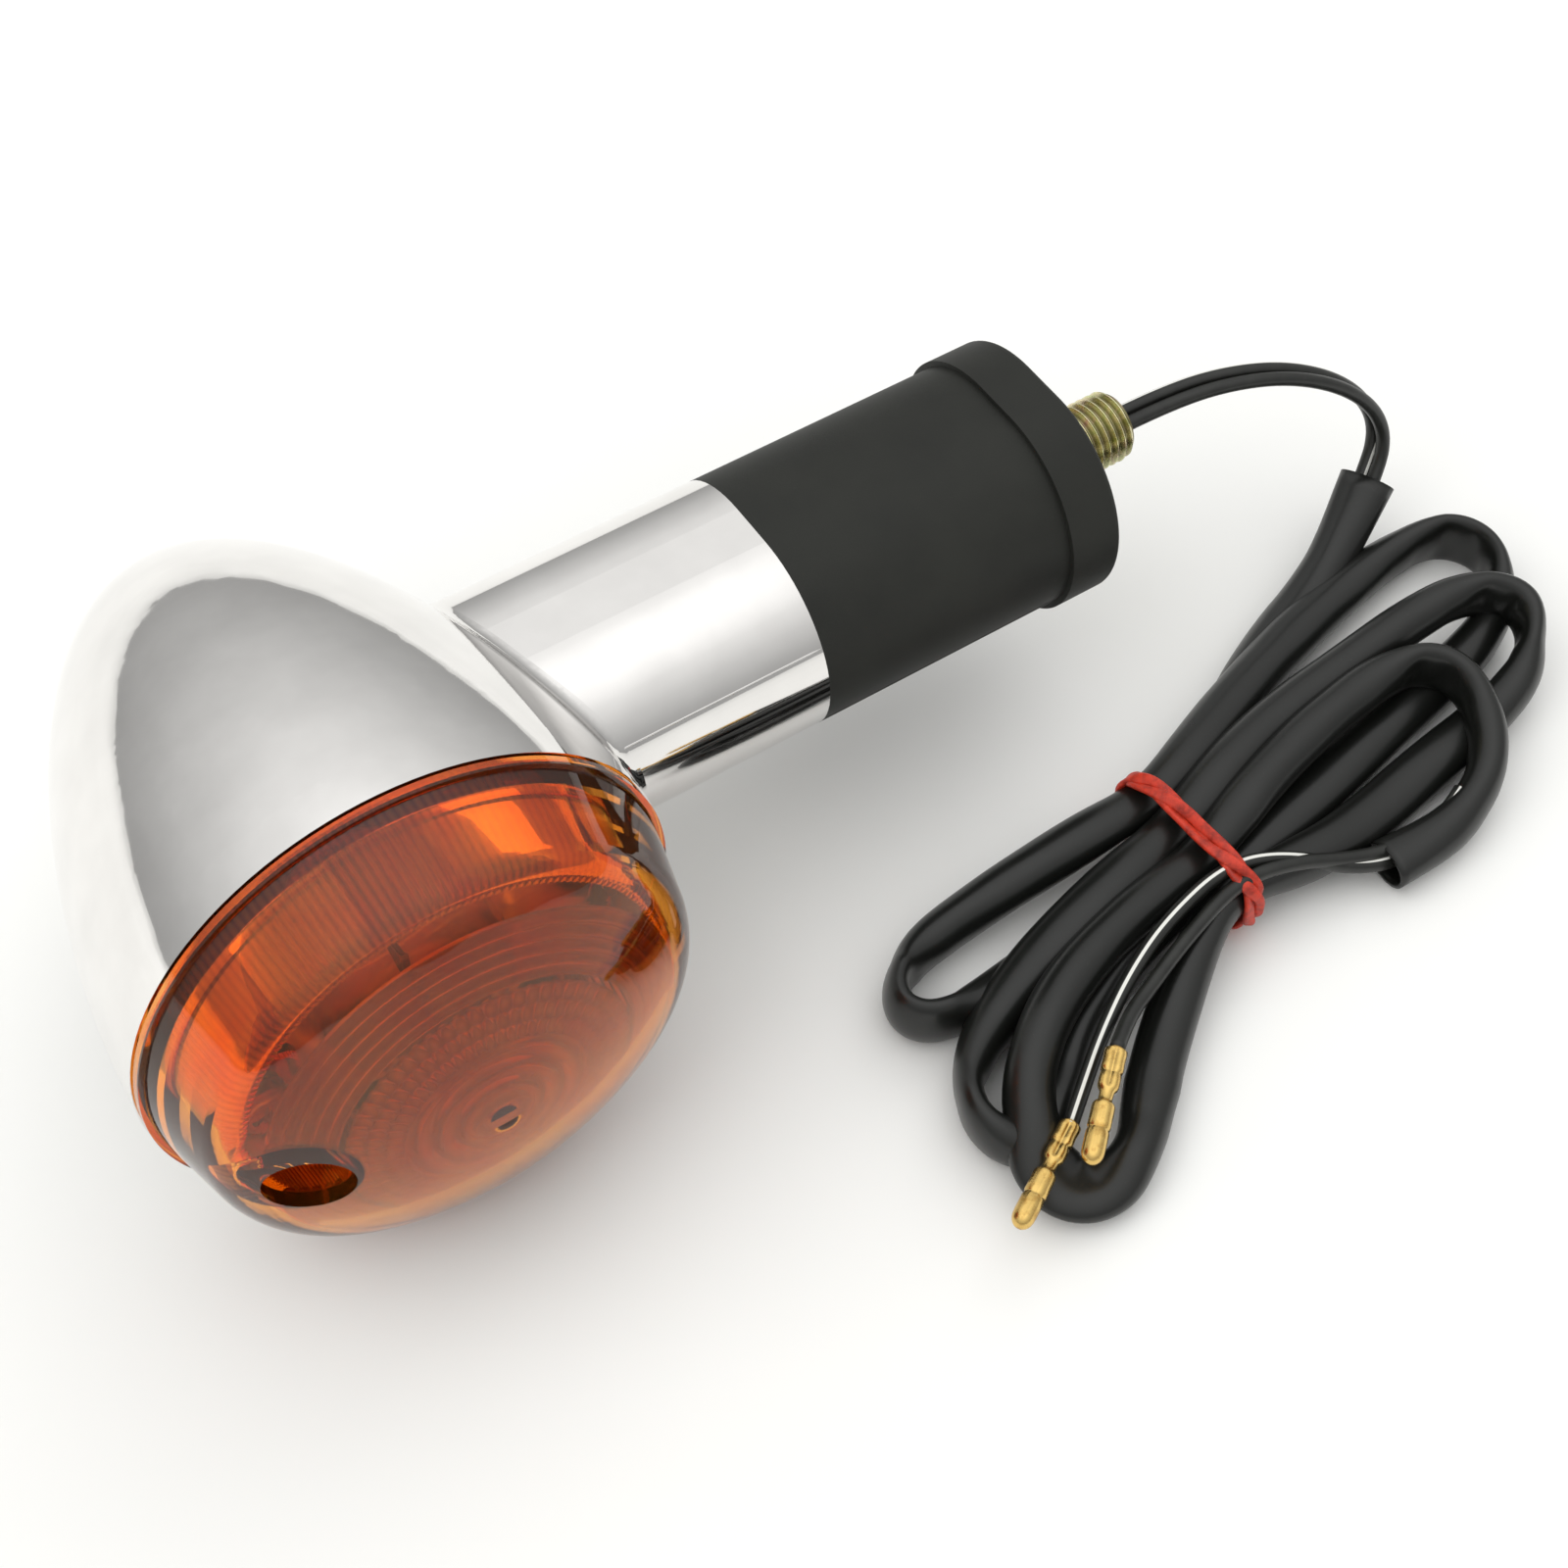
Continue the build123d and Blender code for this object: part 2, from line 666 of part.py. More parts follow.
plate_reach = boot_end - plate_thickness
with BuildPart() as rubber_boot:
    with BuildSketch(along_stem(stem_reach)):
        SlotOverall(stem_width, stem_height)
    extrude(amount=boot_length)
    with BuildSketch(along_stem(boot_end - flange_length)):
        SlotOverall(stem_width + 2 * flange_proud, stem_height + 2 * flange_proud)
    extrude(amount=flange_length)
    fillet(rubber_boot.edges().group_by(Axis.X)[-1], radius=flange_rounding)
    with BuildSketch(along_stem(stem_reach)):
        SlotOverall(stem_width - 2 * spigot_step, stem_height - 2 * spigot_step)
    extrude(amount=spigot_length, mode=Mode.SUBTRACT)
    with BuildSketch(along_stem(stem_reach)):
        Circle(web_bore_radius)
    extrude(amount=boot_length, mode=Mode.SUBTRACT)
    with BuildSketch(along_stem(plate_reach)):
        SlotOverall(stem_width - 2 * plate_margin, stem_height - 2 * plate_margin)
    extrude(amount=plate_thickness, mode=Mode.SUBTRACT)

with BuildPart() as core_plate:
    with BuildSketch(along_stem(plate_reach)):
        SlotOverall(stem_width - 2 * plate_margin, stem_height - 2 * plate_margin)
        Circle(stud_shoulder_radius, mode=Mode.SUBTRACT)
    extrude(amount=plate_thickness)

with BuildPart() as mounting_stud:
    with BuildSketch(along_stem(plate_reach - stud_head_thickness)):
        Circle(stud_head_radius)
    extrude(amount=stud_head_thickness)
    with BuildSketch(along_stem(plate_reach)):
        Circle(stud_shoulder_radius)
    extrude(amount=plate_thickness)
    with BuildSketch(along_stem(boot_end)):
        Circle(stud_radius)
    extrude(amount=stud_reach)
    chamfer(mounting_stud.edges().group_by(Axis.X)[-1], length=stud_chamfer)
    with BuildSketch(along_stem(plate_reach - stud_head_thickness)):
        Circle(stud_bore_radius)
    extrude(amount=stud_tip, mode=Mode.SUBTRACT)

head_reach = plate_reach - stud_head_thickness
with BuildPart() as wire_grommet:
    with BuildSketch(along_stem(head_reach - grommet_flange)):
        Circle(grommet_flange_radius)
    extrude(amount=grommet_flange)
    with BuildSketch(along_stem(head_reach)):
        Circle(stud_bore_radius)
    extrude(amount=stud_head_thickness)
    with BuildSketch(along_stem(head_reach - grommet_flange)):
        SlotOverall(2 * (wire_offset + wire_radius), 2 * wire_radius)
    extrude(amount=stud_tip, mode=Mode.SUBTRACT)

# ---------------------------------------------------------------- wires inside the lamp


def inside(x, back, up):
    """Point from its place along X, behind the seam and above the lens axis."""
    return (axis_x + x, seam_y + back, axis_z + up)


feed_back = stem_back - wire_offset
ground_back = stem_back + wire_offset
feed_inside = [
    inside(0, socket_end_back - socket_floor / 2, 0),
    inside(0, socket_end_back + 4.5, 0),
    inside(socket_radius - 1, socket_end_back + 4.0, 1.5),
    inside(socket_radius + 7, socket_end_back - 5.0, 1.0),
    inside(26, stem_back, 3.5),
    inside(38, feed_back, 2.6),
    inside(52, feed_back, 0),
    inside(stud_tip, feed_back, 0),
]
ground_inside = [
    inside(ground_tail_x + 1, bracket_back - washer_thickness - wire_radius, -bracket_screw_offset),
    inside(ground_tail_x + 8, bracket_back, -bracket_screw_offset + 2),
    inside(ground_tail_x + 17, ground_back + 1, -8),
    inside(ground_tail_x + 30, ground_back, -3.5),
    inside(ground_tail_x + 45, ground_back, 0),
    inside(stud_tip, ground_back, 0),
]


def route_path(points):
    """Straight runs joined by the largest arcs that they allow."""
    return FilletPolyline(*points, radius=bend_radii(points))


with BuildPart() as feed_wire:
    with BuildLine() as feed_path:
        route_path(feed_inside)
    with BuildSketch(Plane(origin=feed_path.line @ 0, z_dir=feed_path.line % 0)):
        Circle(wire_radius)
    sweep(path=feed_path.line)

with BuildPart() as ground_wire:
    with BuildLine() as ground_path:
        route_path(ground_inside)
    with BuildSketch(Plane(origin=ground_path.line @ 0, z_dir=ground_path.line % 0)):
        Circle(wire_radius)
    sweep(path=ground_path.line)

# ---------------------------------------------------------------- lead outside the lamp

# Middle of the two wires, from the stud's mouth to the mouth of the sleeve.
lead_route = [
    (axis_x + stud_tip, stem_y, axis_z),
    (axis_x + stud_tip + 7.0, stem_y, axis_z),
    (93.5, 0.6, 34.6),
    (103.0, -1.9, 33.2),
    (111.8, -4.2, 28.6),
    (117.8, -6.2, 22.6),
    (119.6, -8.2, 16.6),
    (116.2, -10.6, 11.6),
    (111.4, -13.2, 8.1),
]
# Sleeve, from its mouth down to the hank.
sleeve_route = [
    (116.2, -10.6, 11.6),
    (109.0, -14.5, 6.4),
    (100.0, -18.6, 3.7),
    (90.5, -21.8, 3.4),
    (81.0, -26.2, 3.5),
]
# Free ends, from the band to the terminals.
feed_tail_route = [
    (54.0, -55.0, 7.4),
    (46.0, -57.8, 7.7),
    (38.3, -60.7, 9.6),
    (32.7, -63.1, 10.6),
    (28.4, -66.4, 11.6),
]
ground_tail_route = [
    (54.0, -53.0, 8.8),
    (45.0, -55.4, 8.6),
    (36.5, -58.6, 7.6),
    (28.8, -63.0, 7.8),
    (23.0, -67.2, 7.7),
    (19.1, -70.1, 7.7),
]
feed_terminal_tip = (14.9, -78.4, 11.0)
ground_terminal_tip = (6.3, -77.5, 8.4)
hank_outline = [
    (57, -33), (42, -32), (25, -33.5), (12.5, -40.5), (7, -54), (12, -70), (20, -78.5), (30, -72), (45, -61.5),
    (57, -57.5), (72, -62), (90, -62.5), (106, -53), (121, -42), (128, -27), (121, -16), (104, -17.5), (80, -25.5),
]
waist = (57.0, -45.2)
waist_length = 60.0
waist_width = 20.0

feed_lead_route = [(x, y - wire_offset, z) for x, y, z in lead_route]
ground_lead_route = [(x, y + wire_offset, z) for x, y, z in lead_route]

lead_tubes = {}
for tube_name, tube_points, tube_radius in (
    ("feed_wire_lead", feed_lead_route, wire_radius),
    ("ground_wire_lead", ground_lead_route, wire_radius),
    ("lead_sleeve", sleeve_route, sleeve_radius),
    ("feed_wire_tail", feed_tail_route, wire_radius),
    ("ground_wire_tail", ground_tail_route, wire_radius),
):
    with BuildPart() as lead_tube:
        with BuildLine() as lead_path:
            route_path(tube_points)
        with BuildSketch(Plane(origin=lead_path.line @ 0, z_dir=lead_path.line % 0)):
            Circle(tube_radius)
        sweep(path=lead_path.line)
    lead_tubes[tube_name] = lead_tube.part
    report_route(tube_name, tube_points, 2 * tube_radius, lead_tube.part)

band_height = hank_waist_height + 0.1 - band_floor
with BuildPart() as waist_window:
    with BuildSketch(Plane.YZ.offset(waist[0] - band_width / 2)):
        with Locations((waist[1], band_floor + band_height / 2)):
            RectangleRounded(band_inner_width, band_height, band_corner)
    extrude(amount=band_width)

with BuildPart() as rubber_band:
    with BuildSketch(Plane.YZ.offset(waist[0] - band_width / 2)):
        with Locations((waist[1], band_floor + band_height / 2)):
            RectangleRounded(
                band_inner_width + 2 * band_thickness,
                band_height + 2 * band_thickness,
                band_corner + band_thickness,
            )
    extrude(amount=band_width)
    add(waist_window.part, mode=Mode.SUBTRACT)

with BuildPart() as lead_hank:
    with BuildSketch():
        with BuildLine():
            Spline(*hank_outline, periodic=True)
        make_face()
    extrude(amount=hank_height)
    with BuildSketch(Plane.XY.offset(hank_height)):
        with Locations(waist):
            Ellipse(waist_length / 2, waist_width / 2, rotation=12)
    extrude(amount=hank_waist_height - hank_height)
    fillet(lead_hank.faces().sort_by(Axis.Z)[-1].edges(), radius=hank_waist_rounding)
    with BuildSketch(Plane.YZ.offset(waist[0] - band_width / 2)):
        with Locations(waist[1:]):
            Rectangle(2 * waist_length, 4 * hank_waist_height)
        with Locations((waist[1], band_floor + band_height / 2)):
            RectangleRounded(band_inner_width, band_height, band_corner, mode=Mode.SUBTRACT)
    extrude(amount=band_width, mode=Mode.SUBTRACT)

terminals = {}
for terminal_name, crimp_end, tip in (
    ("feed_bullet_terminal", feed_tail_route[-1], feed_terminal_tip),
    ("ground_bullet_terminal", ground_tail_route[-1], ground_terminal_tip),
):
    start = Vector(*crimp_end)
    forward = (Vector(*tip) - start).normalized()
    length_plane = Plane(origin=start, x_dir=forward.cross(Vector(0, 0, 1)), z_dir=forward)
    side_plane = Plane(origin=start, x_dir=length_plane.x_dir, z_dir=length_plane.x_dir.cross(forward))
    with BuildPart() as terminal:
        with BuildSketch(side_plane):
            with BuildLine():
                Polyline(
                    (0, 0),
                    (crimp_radius, 0),
                    (crimp_radius, 0.34 * terminal_length),
                    (terminal_neck_radius, 0.38 * terminal_length),
                    (terminal_neck_radius, 0.46 * terminal_length),
                    (terminal_radius, 0.5 * terminal_length),
                    (terminal_radius, 0.92 * terminal_length),
                    (0.55 * terminal_radius, terminal_length),
                    (0, terminal_length),
                    (0, 0),
                )
            make_face()
        revolve(axis=Axis(start, forward))
    terminals[terminal_name] = terminal.part

# ---------------------------------------------------------------- files

pieces = {
    "housing": housing.part,
    "lens": lens.part,
    "lens_screw": lens_screw.part,
    "screw_seal": screw_seal.part,
    "lens_gasket": lens_gasket.part,
    "reflector": reflector.part,
    "bulb_socket": bulb_socket.part,
    "socket_bracket": socket_bracket.part,
    "bracket_screws": bracket_screws.part,
    "bracket_washer": bracket_washer.part,
    "ground_terminal": ground_terminal.part,
    "contact_plunger": contact_plunger.part,
    "plunger_contact": plunger_contact.part,
    "contact_spring": contact_spring.part,
    "bulb_glass": bulb_glass.part,
    "bulb_stem": bulb_stem.part,
    "bulb_filament": bulb_filament.part,
    "bulb_base": bulb_base.part,
    "bulb_pins": bulb_pins.part,
    "bulb_insulator": bulb_insulator.part,
    "bulb_button": bulb_button.part,
    "rubber_boot": rubber_boot.part,
    "core_plate": core_plate.part,
    "mounting_stud": mounting_stud.part,
    "wire_grommet": wire_grommet.part,
    "feed_wire": feed_wire.part,
    "ground_wire": ground_wire.part,
    "lead_hank": lead_hank.part,
    "rubber_band": rubber_band.part,
    **lead_tubes,
    **terminals,
}
for name, piece in pieces.items():
    piece.label = name
    export_step(piece, f"parts/{name}.step")
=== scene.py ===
"""Motorcycle turn signal lamp on a pale floor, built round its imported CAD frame, in metres.

The lens faces -Y and the stem runs along +X. Distances called "back" are measured along +Y from the seam
between the lens and the housing, and lengths in millimetres are turned to metres by MM.
"""

import json
import math

import bpy
import numpy as np
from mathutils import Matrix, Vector


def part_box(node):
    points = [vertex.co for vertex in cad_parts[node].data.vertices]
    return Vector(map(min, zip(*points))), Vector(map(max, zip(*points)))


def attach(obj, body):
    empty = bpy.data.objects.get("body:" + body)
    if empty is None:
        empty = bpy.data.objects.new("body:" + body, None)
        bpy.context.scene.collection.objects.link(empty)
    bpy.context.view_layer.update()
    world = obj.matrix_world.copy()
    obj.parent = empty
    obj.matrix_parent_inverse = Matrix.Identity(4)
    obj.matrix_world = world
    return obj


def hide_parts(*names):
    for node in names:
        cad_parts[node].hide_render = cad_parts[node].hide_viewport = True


bl_info = {
    "name": "Turn Signal Lamp",
    "version": (1, 0, 0),
    "blender": (4, 5, 0),
    "location": "View3D > Sidebar > Turn Signal",
    "description": "Lens optics, thread, lead and finishes of a motorcycle turn signal lamp",
    "category": "Object",
}

MM = 0.001

CHROME_NAME = "chrome plating on die casting"
BOOT_RUBBER_NAME = "moulded boot rubber"

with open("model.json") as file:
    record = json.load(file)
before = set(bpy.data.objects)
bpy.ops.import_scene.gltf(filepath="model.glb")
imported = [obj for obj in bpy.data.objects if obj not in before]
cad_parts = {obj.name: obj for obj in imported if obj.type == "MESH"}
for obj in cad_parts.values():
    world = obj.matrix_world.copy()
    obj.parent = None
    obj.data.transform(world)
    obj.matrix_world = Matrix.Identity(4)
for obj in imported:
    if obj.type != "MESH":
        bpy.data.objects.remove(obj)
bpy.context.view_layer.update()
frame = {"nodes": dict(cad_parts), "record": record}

# ---------------------------------------------------------------- places, read from the frame

housing_low, housing_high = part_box("housing")
lens_low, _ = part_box("lens")
boot_low, boot_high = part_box("rubber_boot")
stud_low, stud_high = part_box("mounting_stud")
band_low, band_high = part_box("rubber_band")
screw_low, screw_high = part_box("lens_screw")

HEAD_RADIUS = housing_high.z / 2
AXIS_X = housing_low.x + HEAD_RADIUS
AXIS_Z = HEAD_RADIUS
SEAM_Y = housing_low.y
STEM_Y = (boot_low.y + boot_high.y) / 2
LENS_DEPTH = SEAM_Y - lens_low.y
STEM_JOINT_X = boot_low.x
BOOT_END_X = boot_high.x
STUD_TIP_X = stud_high.x
WELL_OFFSET = AXIS_X - (screw_low.x + screw_high.x) / 2

# ---------------------------------------------------------------- sizes shared with the CAD model

LENS_WALL = 2.2 * MM
DOME_RADIUS = 53.9 * MM
WELL_BOSS_RADIUS = 6.3 * MM
STUD_BORE = 3.0 * MM
STUD_SHOULDER = 6.0 * MM
PLATE_THICKNESS = 4.0 * MM
STUD_HEAD_THICKNESS = 3.0 * MM
WIRE_RADIUS = 1.0 * MM
WIRE_OFFSET = 1.1 * MM
SLEEVE_RADIUS = 3.25 * MM
SLEEVE_WALL = 0.55 * MM
TERMINAL_LENGTH = 16.0 * MM
TERMINAL_RADIUS = 1.45 * MM
CRIMP_RADIUS = 1.3 * MM
TERMINAL_NECK = 0.9 * MM

# ---------------------------------------------------------------- sizes and routes of the looks

# Length of each cord along its route.
FEED_TAIL_LENGTH = 69.0 * MM
GROUND_TAIL_LENGTH = 83.0 * MM

# Steps of a smooth line for each of its route's spans, the share of a radius left at a wire's or a bead's ends,
# and the angle by which the stripe is turned round the wires at the stud.
LINE_STEPS = 10
PINHOLE = 0.02
STRIPE_TURN = 0.6

# Gap between the lens's wall and the relief inside it, and between the relief and the screw's boss.
OPTICS_GAP = 0.06 * MM
BOSS_GAP = 0.15 * MM

CAMERA_PLACE_MM = (-93.9, -179.9, 288.9)
CAMERA_TARGET_MM = (8.1, -22.8, 32.0)
FOCAL_LENGTH_MM = 59.8
# Height in the sky, from 0 to 1, and the world's grey there.
SKY_TONES = ((0.2, 0.52), (0.5, 0.74), (0.75, 1.0))

# Middle of the two wires, from the stud's mouth into the sleeve, in millimetres.
LEAD_ROUTE = [
    (77.5, 2.2, 34.0),
    (84.5, 2.2, 34.0),
    (93.5, 0.6, 34.6),
    (103.0, -1.9, 33.2),
    (111.8, -4.2, 28.6),
    (117.8, -6.2, 22.6),
    (119.6, -8.2, 16.6),
    (116.2, -10.6, 11.6),
    (111.4, -13.2, 8.1),
]
# Sleeve, from its mouth down to the hank.
SLEEVE_ROUTE = [
    (116.2, -10.6, 11.6),
    (109.0, -14.5, 6.4),
    (100.0, -18.6, 3.7),
    (90.5, -21.8, 3.4),
    (81.0, -26.2, 3.5),
]
# Hank, in order along the sleeve: round six folds, three at either end, and under the band between them.
HANK_ROUTE = [
    (70.0, -33.5, 3.5), (57.0, -41.5, 3.6), (44.0, -45.0, 3.4), (32.0, -47.5, 3.4), (22.0, -48.5, 3.6),
    (14.5, -48.2, 4.0), (11.6, -44.5, 4.2), (13.8, -40.2, 4.4), (20.5, -37.4, 4.8), (32.0, -36.8, 6.2),
    (45.0, -36.6, 7.4), (57.0, -36.4, 7.8), (66.0, -33.6, 7.6), (78.0, -28.6, 6.0), (92.0, -23.6, 4.8),
    (106.0, -20.1, 4.2), (117.5, -18.9, 4.2), (124.6, -21.5, 4.2), (126.6, -27.5, 4.0), (122.6, -34.5, 3.6),
    (112.0, -39.0, 3.4), (98.0, -41.6, 3.4), (84.0, -44.6, 3.4), (70.0, -47.6, 3.5), (57.0, -49.8, 3.6),
    (46.0, -51.8, 3.6), (36.0, -55.0, 3.6), (27.0, -60.0, 3.6), (20.5, -66.0, 3.2), (15.5, -68.5, 2.8),
    (11.4, -65.5, 3.2), (11.2, -59.5, 4.2), (16.5, -53.8, 4.8), (27.0, -49.4, 6.4), (41.0, -45.8, 8.0),
    (57.0, -42.2, 8.2), (68.0, -38.2, 8.4), (80.0, -35.2, 8.2), (93.0, -33.8, 8.4), (106.0, -32.6, 9.4),
    (115.5, -33.4, 10.0), (120.4, -37.6, 9.4), (120.2, -42.0, 8.2), (115.0, -47.0, 5.4), (106.0, -49.0, 3.6),
    (94.0, -50.6, 3.4), (81.0, -53.2, 3.6), (69.0, -54.4, 5.6), (57.0, -53.7, 7.6), (47.0, -58.6, 6.0),
    (38.0, -65.0, 4.2), (31.0, -71.0, 4.0), (26.0, -75.8, 3.2), (20.6, -77.9, 2.7), (15.8, -75.8, 2.7),
    (14.2, -71.5, 4.2), (15.5, -67.5, 5.6), (18.5, -62.0, 7.2), (24.0, -57.5, 9.0), (32.0, -53.4, 9.2),
    (44.0, -50.0, 8.6), (57.0, -47.9, 8.2), (65.0, -44.7, 8.4), (74.0, -41.8, 8.8), (85.0, -39.4, 9.4),
    (95.4, -38.3, 9.8), (102.0, -39.6, 9.8), (105.0, -44.3, 9.4), (103.6, -51.3, 7.6), (99.5, -56.8, 5.2),
    (92.5, -59.8, 3.8), (85.5, -60.4, 3.5), (79.0, -60.0, 3.5),
]
# Free ends of the wires, from inside the sleeve's far mouth, under the band and on to the terminals.
FEED_TAIL_ROUTE = [
    (94.0, -58.6, 5.0),
    (85.0, -59.6, 4.4),
    (76.0, -58.4, 5.6),
    (66.0, -55.6, 9.4),
    (57.0, -54.6, 10.9),
    (46.0, -57.8, 10.4),
    (38.3, -60.7, 9.9),
    (32.7, -63.1, 10.6),
    (28.4, -66.4, 11.6),
]
GROUND_TAIL_ROUTE = [
    (94.0, -57.2, 6.2),
    (85.0, -60.6, 3.4),
    (75.5, -59.6, 4.6),
    (65.5, -54.2, 9.6),
    (57.0, -52.0, 11.1),
    (45.0, -54.8, 11.4),
    (36.5, -58.4, 10.6),
    (28.8, -63.0, 9.6),
    (23.0, -67.2, 8.4),
    (19.1, -70.1, 7.7),
]
# Middle of the fold on which the terminals lie.
FOLD_UNDER_TERMINALS = np.array([16.5, -74.5, 3.4]) * MM
FEED_TIP = (14.9, -78.4, 11.0)
GROUND_TIP = (6.3, -77.5, 8.4)


# ---------------------------------------------------------------- settings


class TurnSignalDetails(bpy.types.PropertyGroup):
    """Sizes of the small features that the looks add to the CAD model."""

    thread_pitch: bpy.props.FloatProperty(
        name="Thread Pitch",
        description="Distance between two crests of the stud's thread",
        default=1.25 * MM,
        unit="LENGTH",
    )
    thread_depth: bpy.props.FloatProperty(
        name="Thread Depth",
        description="Depth of the thread's grooves",
        default=0.77 * MM,
        unit="LENGTH",
    )
    flute_count: bpy.props.IntProperty(
        name="Lens Flutes",
        description="Number of flutes moulded round the inside of the lens's side wall",
        default=176,
    )
    flute_height: bpy.props.FloatProperty(
        name="Flute Height",
        description="How far each flute stands in from the side wall",
        default=0.6 * MM,
        unit="LENGTH",
    )
    pillow_count: bpy.props.IntProperty(
        name="Lens Pillows",
        description="Number of pillow optics in each of their three rings",
        default=60,
    )
    pillow_height: bpy.props.FloatProperty(
        name="Pillow Height",
        description="How far each pillow stands in from the lens's front",
        default=0.85 * MM,
        unit="LENGTH",
    )
    band_strands: bpy.props.IntProperty(
        name="Band Strands",
        description="Number of times that the rubber band is wound round the hank",
        default=3,
    )


class TurnSignalFinishes(bpy.types.PropertyGroup):
    """Colours of the finishes, as sRGB hex values."""

    chrome: bpy.props.StringProperty(name="Chrome", description="Polished chrome plating", default="EDEBE9")
    amber: bpy.props.StringProperty(name="Amber", description="Light through the lens", default="FBA43C")
    rubber: bpy.props.StringProperty(name="Boot Rubber", description="Carbon black rubber", default="1E1F1C")
    zinc: bpy.props.StringProperty(name="Yellow Zinc", description="Chromate on the stud", default="EDE3B8")
    sleeve: bpy.props.StringProperty(name="Sleeve", description="Soft black vinyl tube", default="141513")
    band: bpy.props.StringProperty(name="Rubber Band", description="Red natural rubber", default="CC3A22")
    brass: bpy.props.StringProperty(name="Brass", description="Stamped brass", default="E2BE72")
    floor: bpy.props.StringProperty(name="Floor", description="Pale floor", default="F4F4F2")


# ---------------------------------------------------------------- materials


def linear(hex_colour):
    """Linear RGBA of an sRGB hex colour."""
    channels = [int(hex_colour[i:i + 2], 16) / 255 for i in (0, 2, 4)]
    return tuple(c / 12.92 if c <= 0.04045 else ((c + 0.055) / 1.055) ** 2.4 for c in channels) + (1.0,)


def add(tree, kind, inputs=None, **settings):
    """Adds one node with its settings; inputs gives each socket a value or another node's output."""
    made = tree.nodes.new(kind)
    for name, value in settings.items():
        setattr(made, name, value)
    for name, value in (inputs or {}).items():
        if isinstance(value, bpy.types.NodeSocket):
            tree.links.new(value, made.inputs[name])
        else:
            made.inputs[name].default_value = value
    return made


def new_material(name):
    """An empty node material, its tree and the object's own coordinates in metres."""
    material = bpy.data.materials.new(name)
    material.use_nodes = True
    tree = material.node_tree
    tree.nodes.clear()
    place = add(tree, "ShaderNodeTexCoord").outputs["Object"]
    return material, tree, place


def finish(material, tree, inputs):
    """Closes a material with one Principled surface."""
    surface = add(tree, "ShaderNodeBsdfPrincipled", inputs)
    add(tree, "ShaderNodeOutputMaterial", {"Surface": surface.outputs["BSDF"]})
    return material


def grain(tree, place, size_mm, detail=2.0, roughness=0.5, distortion=0.0):
    """Noise whose blotches are about size_mm across, from 0 to 1."""
    noise = add(
        tree,
        "ShaderNodeTexNoise",
        {
            "Vector": place,
            "Scale": 1 / (size_mm * MM),
            "Detail": detail,
            "Roughness": roughness,
            "Distortion": distortion,
        },
    )
    return noise.outputs["Fac"]


def spread(tree, value, low, high):
    """A 0 to 1 pattern stretched from low to high."""
    made = add(tree, "ShaderNodeMapRange", {"Value": value, "To Min": low, "To Max": high})
    return made.outputs["Result"]


def two_tone(tree, value, first, second, start=0.3, end=0.7):
    """A pattern turned into a run between two hex colours."""
    ramp = add(tree, "ShaderNodeValToRGB", {"Fac": value})
    ramp.color_ramp.elements[0].position = start
    ramp.color_ramp.elements[0].color = linear(first)
    ramp.color_ramp.elements[1].position = end
    ramp.color_ramp.elements[1].color = linear(second)
    return ramp.outputs["Color"]


def mixed(tree, factor, first, second):
    """Two colours mixed by a 0 to 1 factor."""
    made = add(tree, "ShaderNodeMix", {"Factor": factor, "A": first, "B": second}, data_type="RGBA")
    return made.outputs[2]


def relief(tree, height, depth_mm, strength=1.0):
    """A bump of the given depth."""
    bump = add(tree, "ShaderNodeBump", {"Height": height, "Distance": depth_mm * MM, "Strength": strength})
    return bump.outputs["Normal"]


def chrome_plating(hex_colour):
    """Polished decorative chrome on a zinc die casting: a near mirror, with a trace of haze from wiping."""
    material, tree, place = new_material(CHROME_NAME)
    haze = grain(tree, place, 9.0, detail=3.0)
    ripple = grain(tree, place, 5.0, detail=1.0)
    return finish(material, tree, {
        "Base Color": two_tone(tree, haze, "E4E2E0", hex_colour),
        "Metallic": 1.0,
        "Roughness": spread(tree, haze, 0.035, 0.075),
        "Normal": relief(tree, ripple, 0.004),
    })


def amber_acrylic(hex_colour):
    """Injection-moulded amber PMMA: clear, deep in colour and glossy, with faint flow through its body."""
    material, tree, place = new_material("amber acrylic, moulded")
    flow = grain(tree, place, 14.0, detail=2.0, distortion=1.5)
    ripple = grain(tree, place, 6.0, detail=1.0)
    return finish(material, tree, {
        "Base Color": two_tone(tree, flow, "F78C26", hex_colour, 0.35, 0.65),
        "Roughness": 0.015,
        "IOR": 1.49,
        "Specular IOR Level": 0.2,
        "Transmission Weight": 0.98,
        "Normal": relief(tree, ripple, 0.006),
    })


def amber_optics():
    """The same acrylic in the lens's inner relief, thinner and so lighter in colour, darkened by a mask: partly
    its thickness, partly painted shade.
    """
    material, tree, place = new_material("amber acrylic, optics")
    flow = grain(tree, place, 5.0, detail=2.0, distortion=1.0)
    thin = two_tone(tree, flow, "FFC65A", "FFDC88", 0.35, 0.65)
    # Mask towards the dark amber: partly the acrylic's thickness, partly painted shade along the flutes and in
    # the valleys between the front's pillows and rings.
    depth = add(tree, "ShaderNodeAttribute", attribute_name="thickness_and_painted_shade").outputs["Fac"]
    return finish(material, tree, {
        "Base Color": mixed(tree, depth, thin, linear("A43408")),
        "Roughness": 0.02,
        "IOR": 1.49,
        "Specular IOR Level": 0.2,
        "Transmission Weight": 0.84,
        "Normal": relief(tree, flow, 0.01),
    })


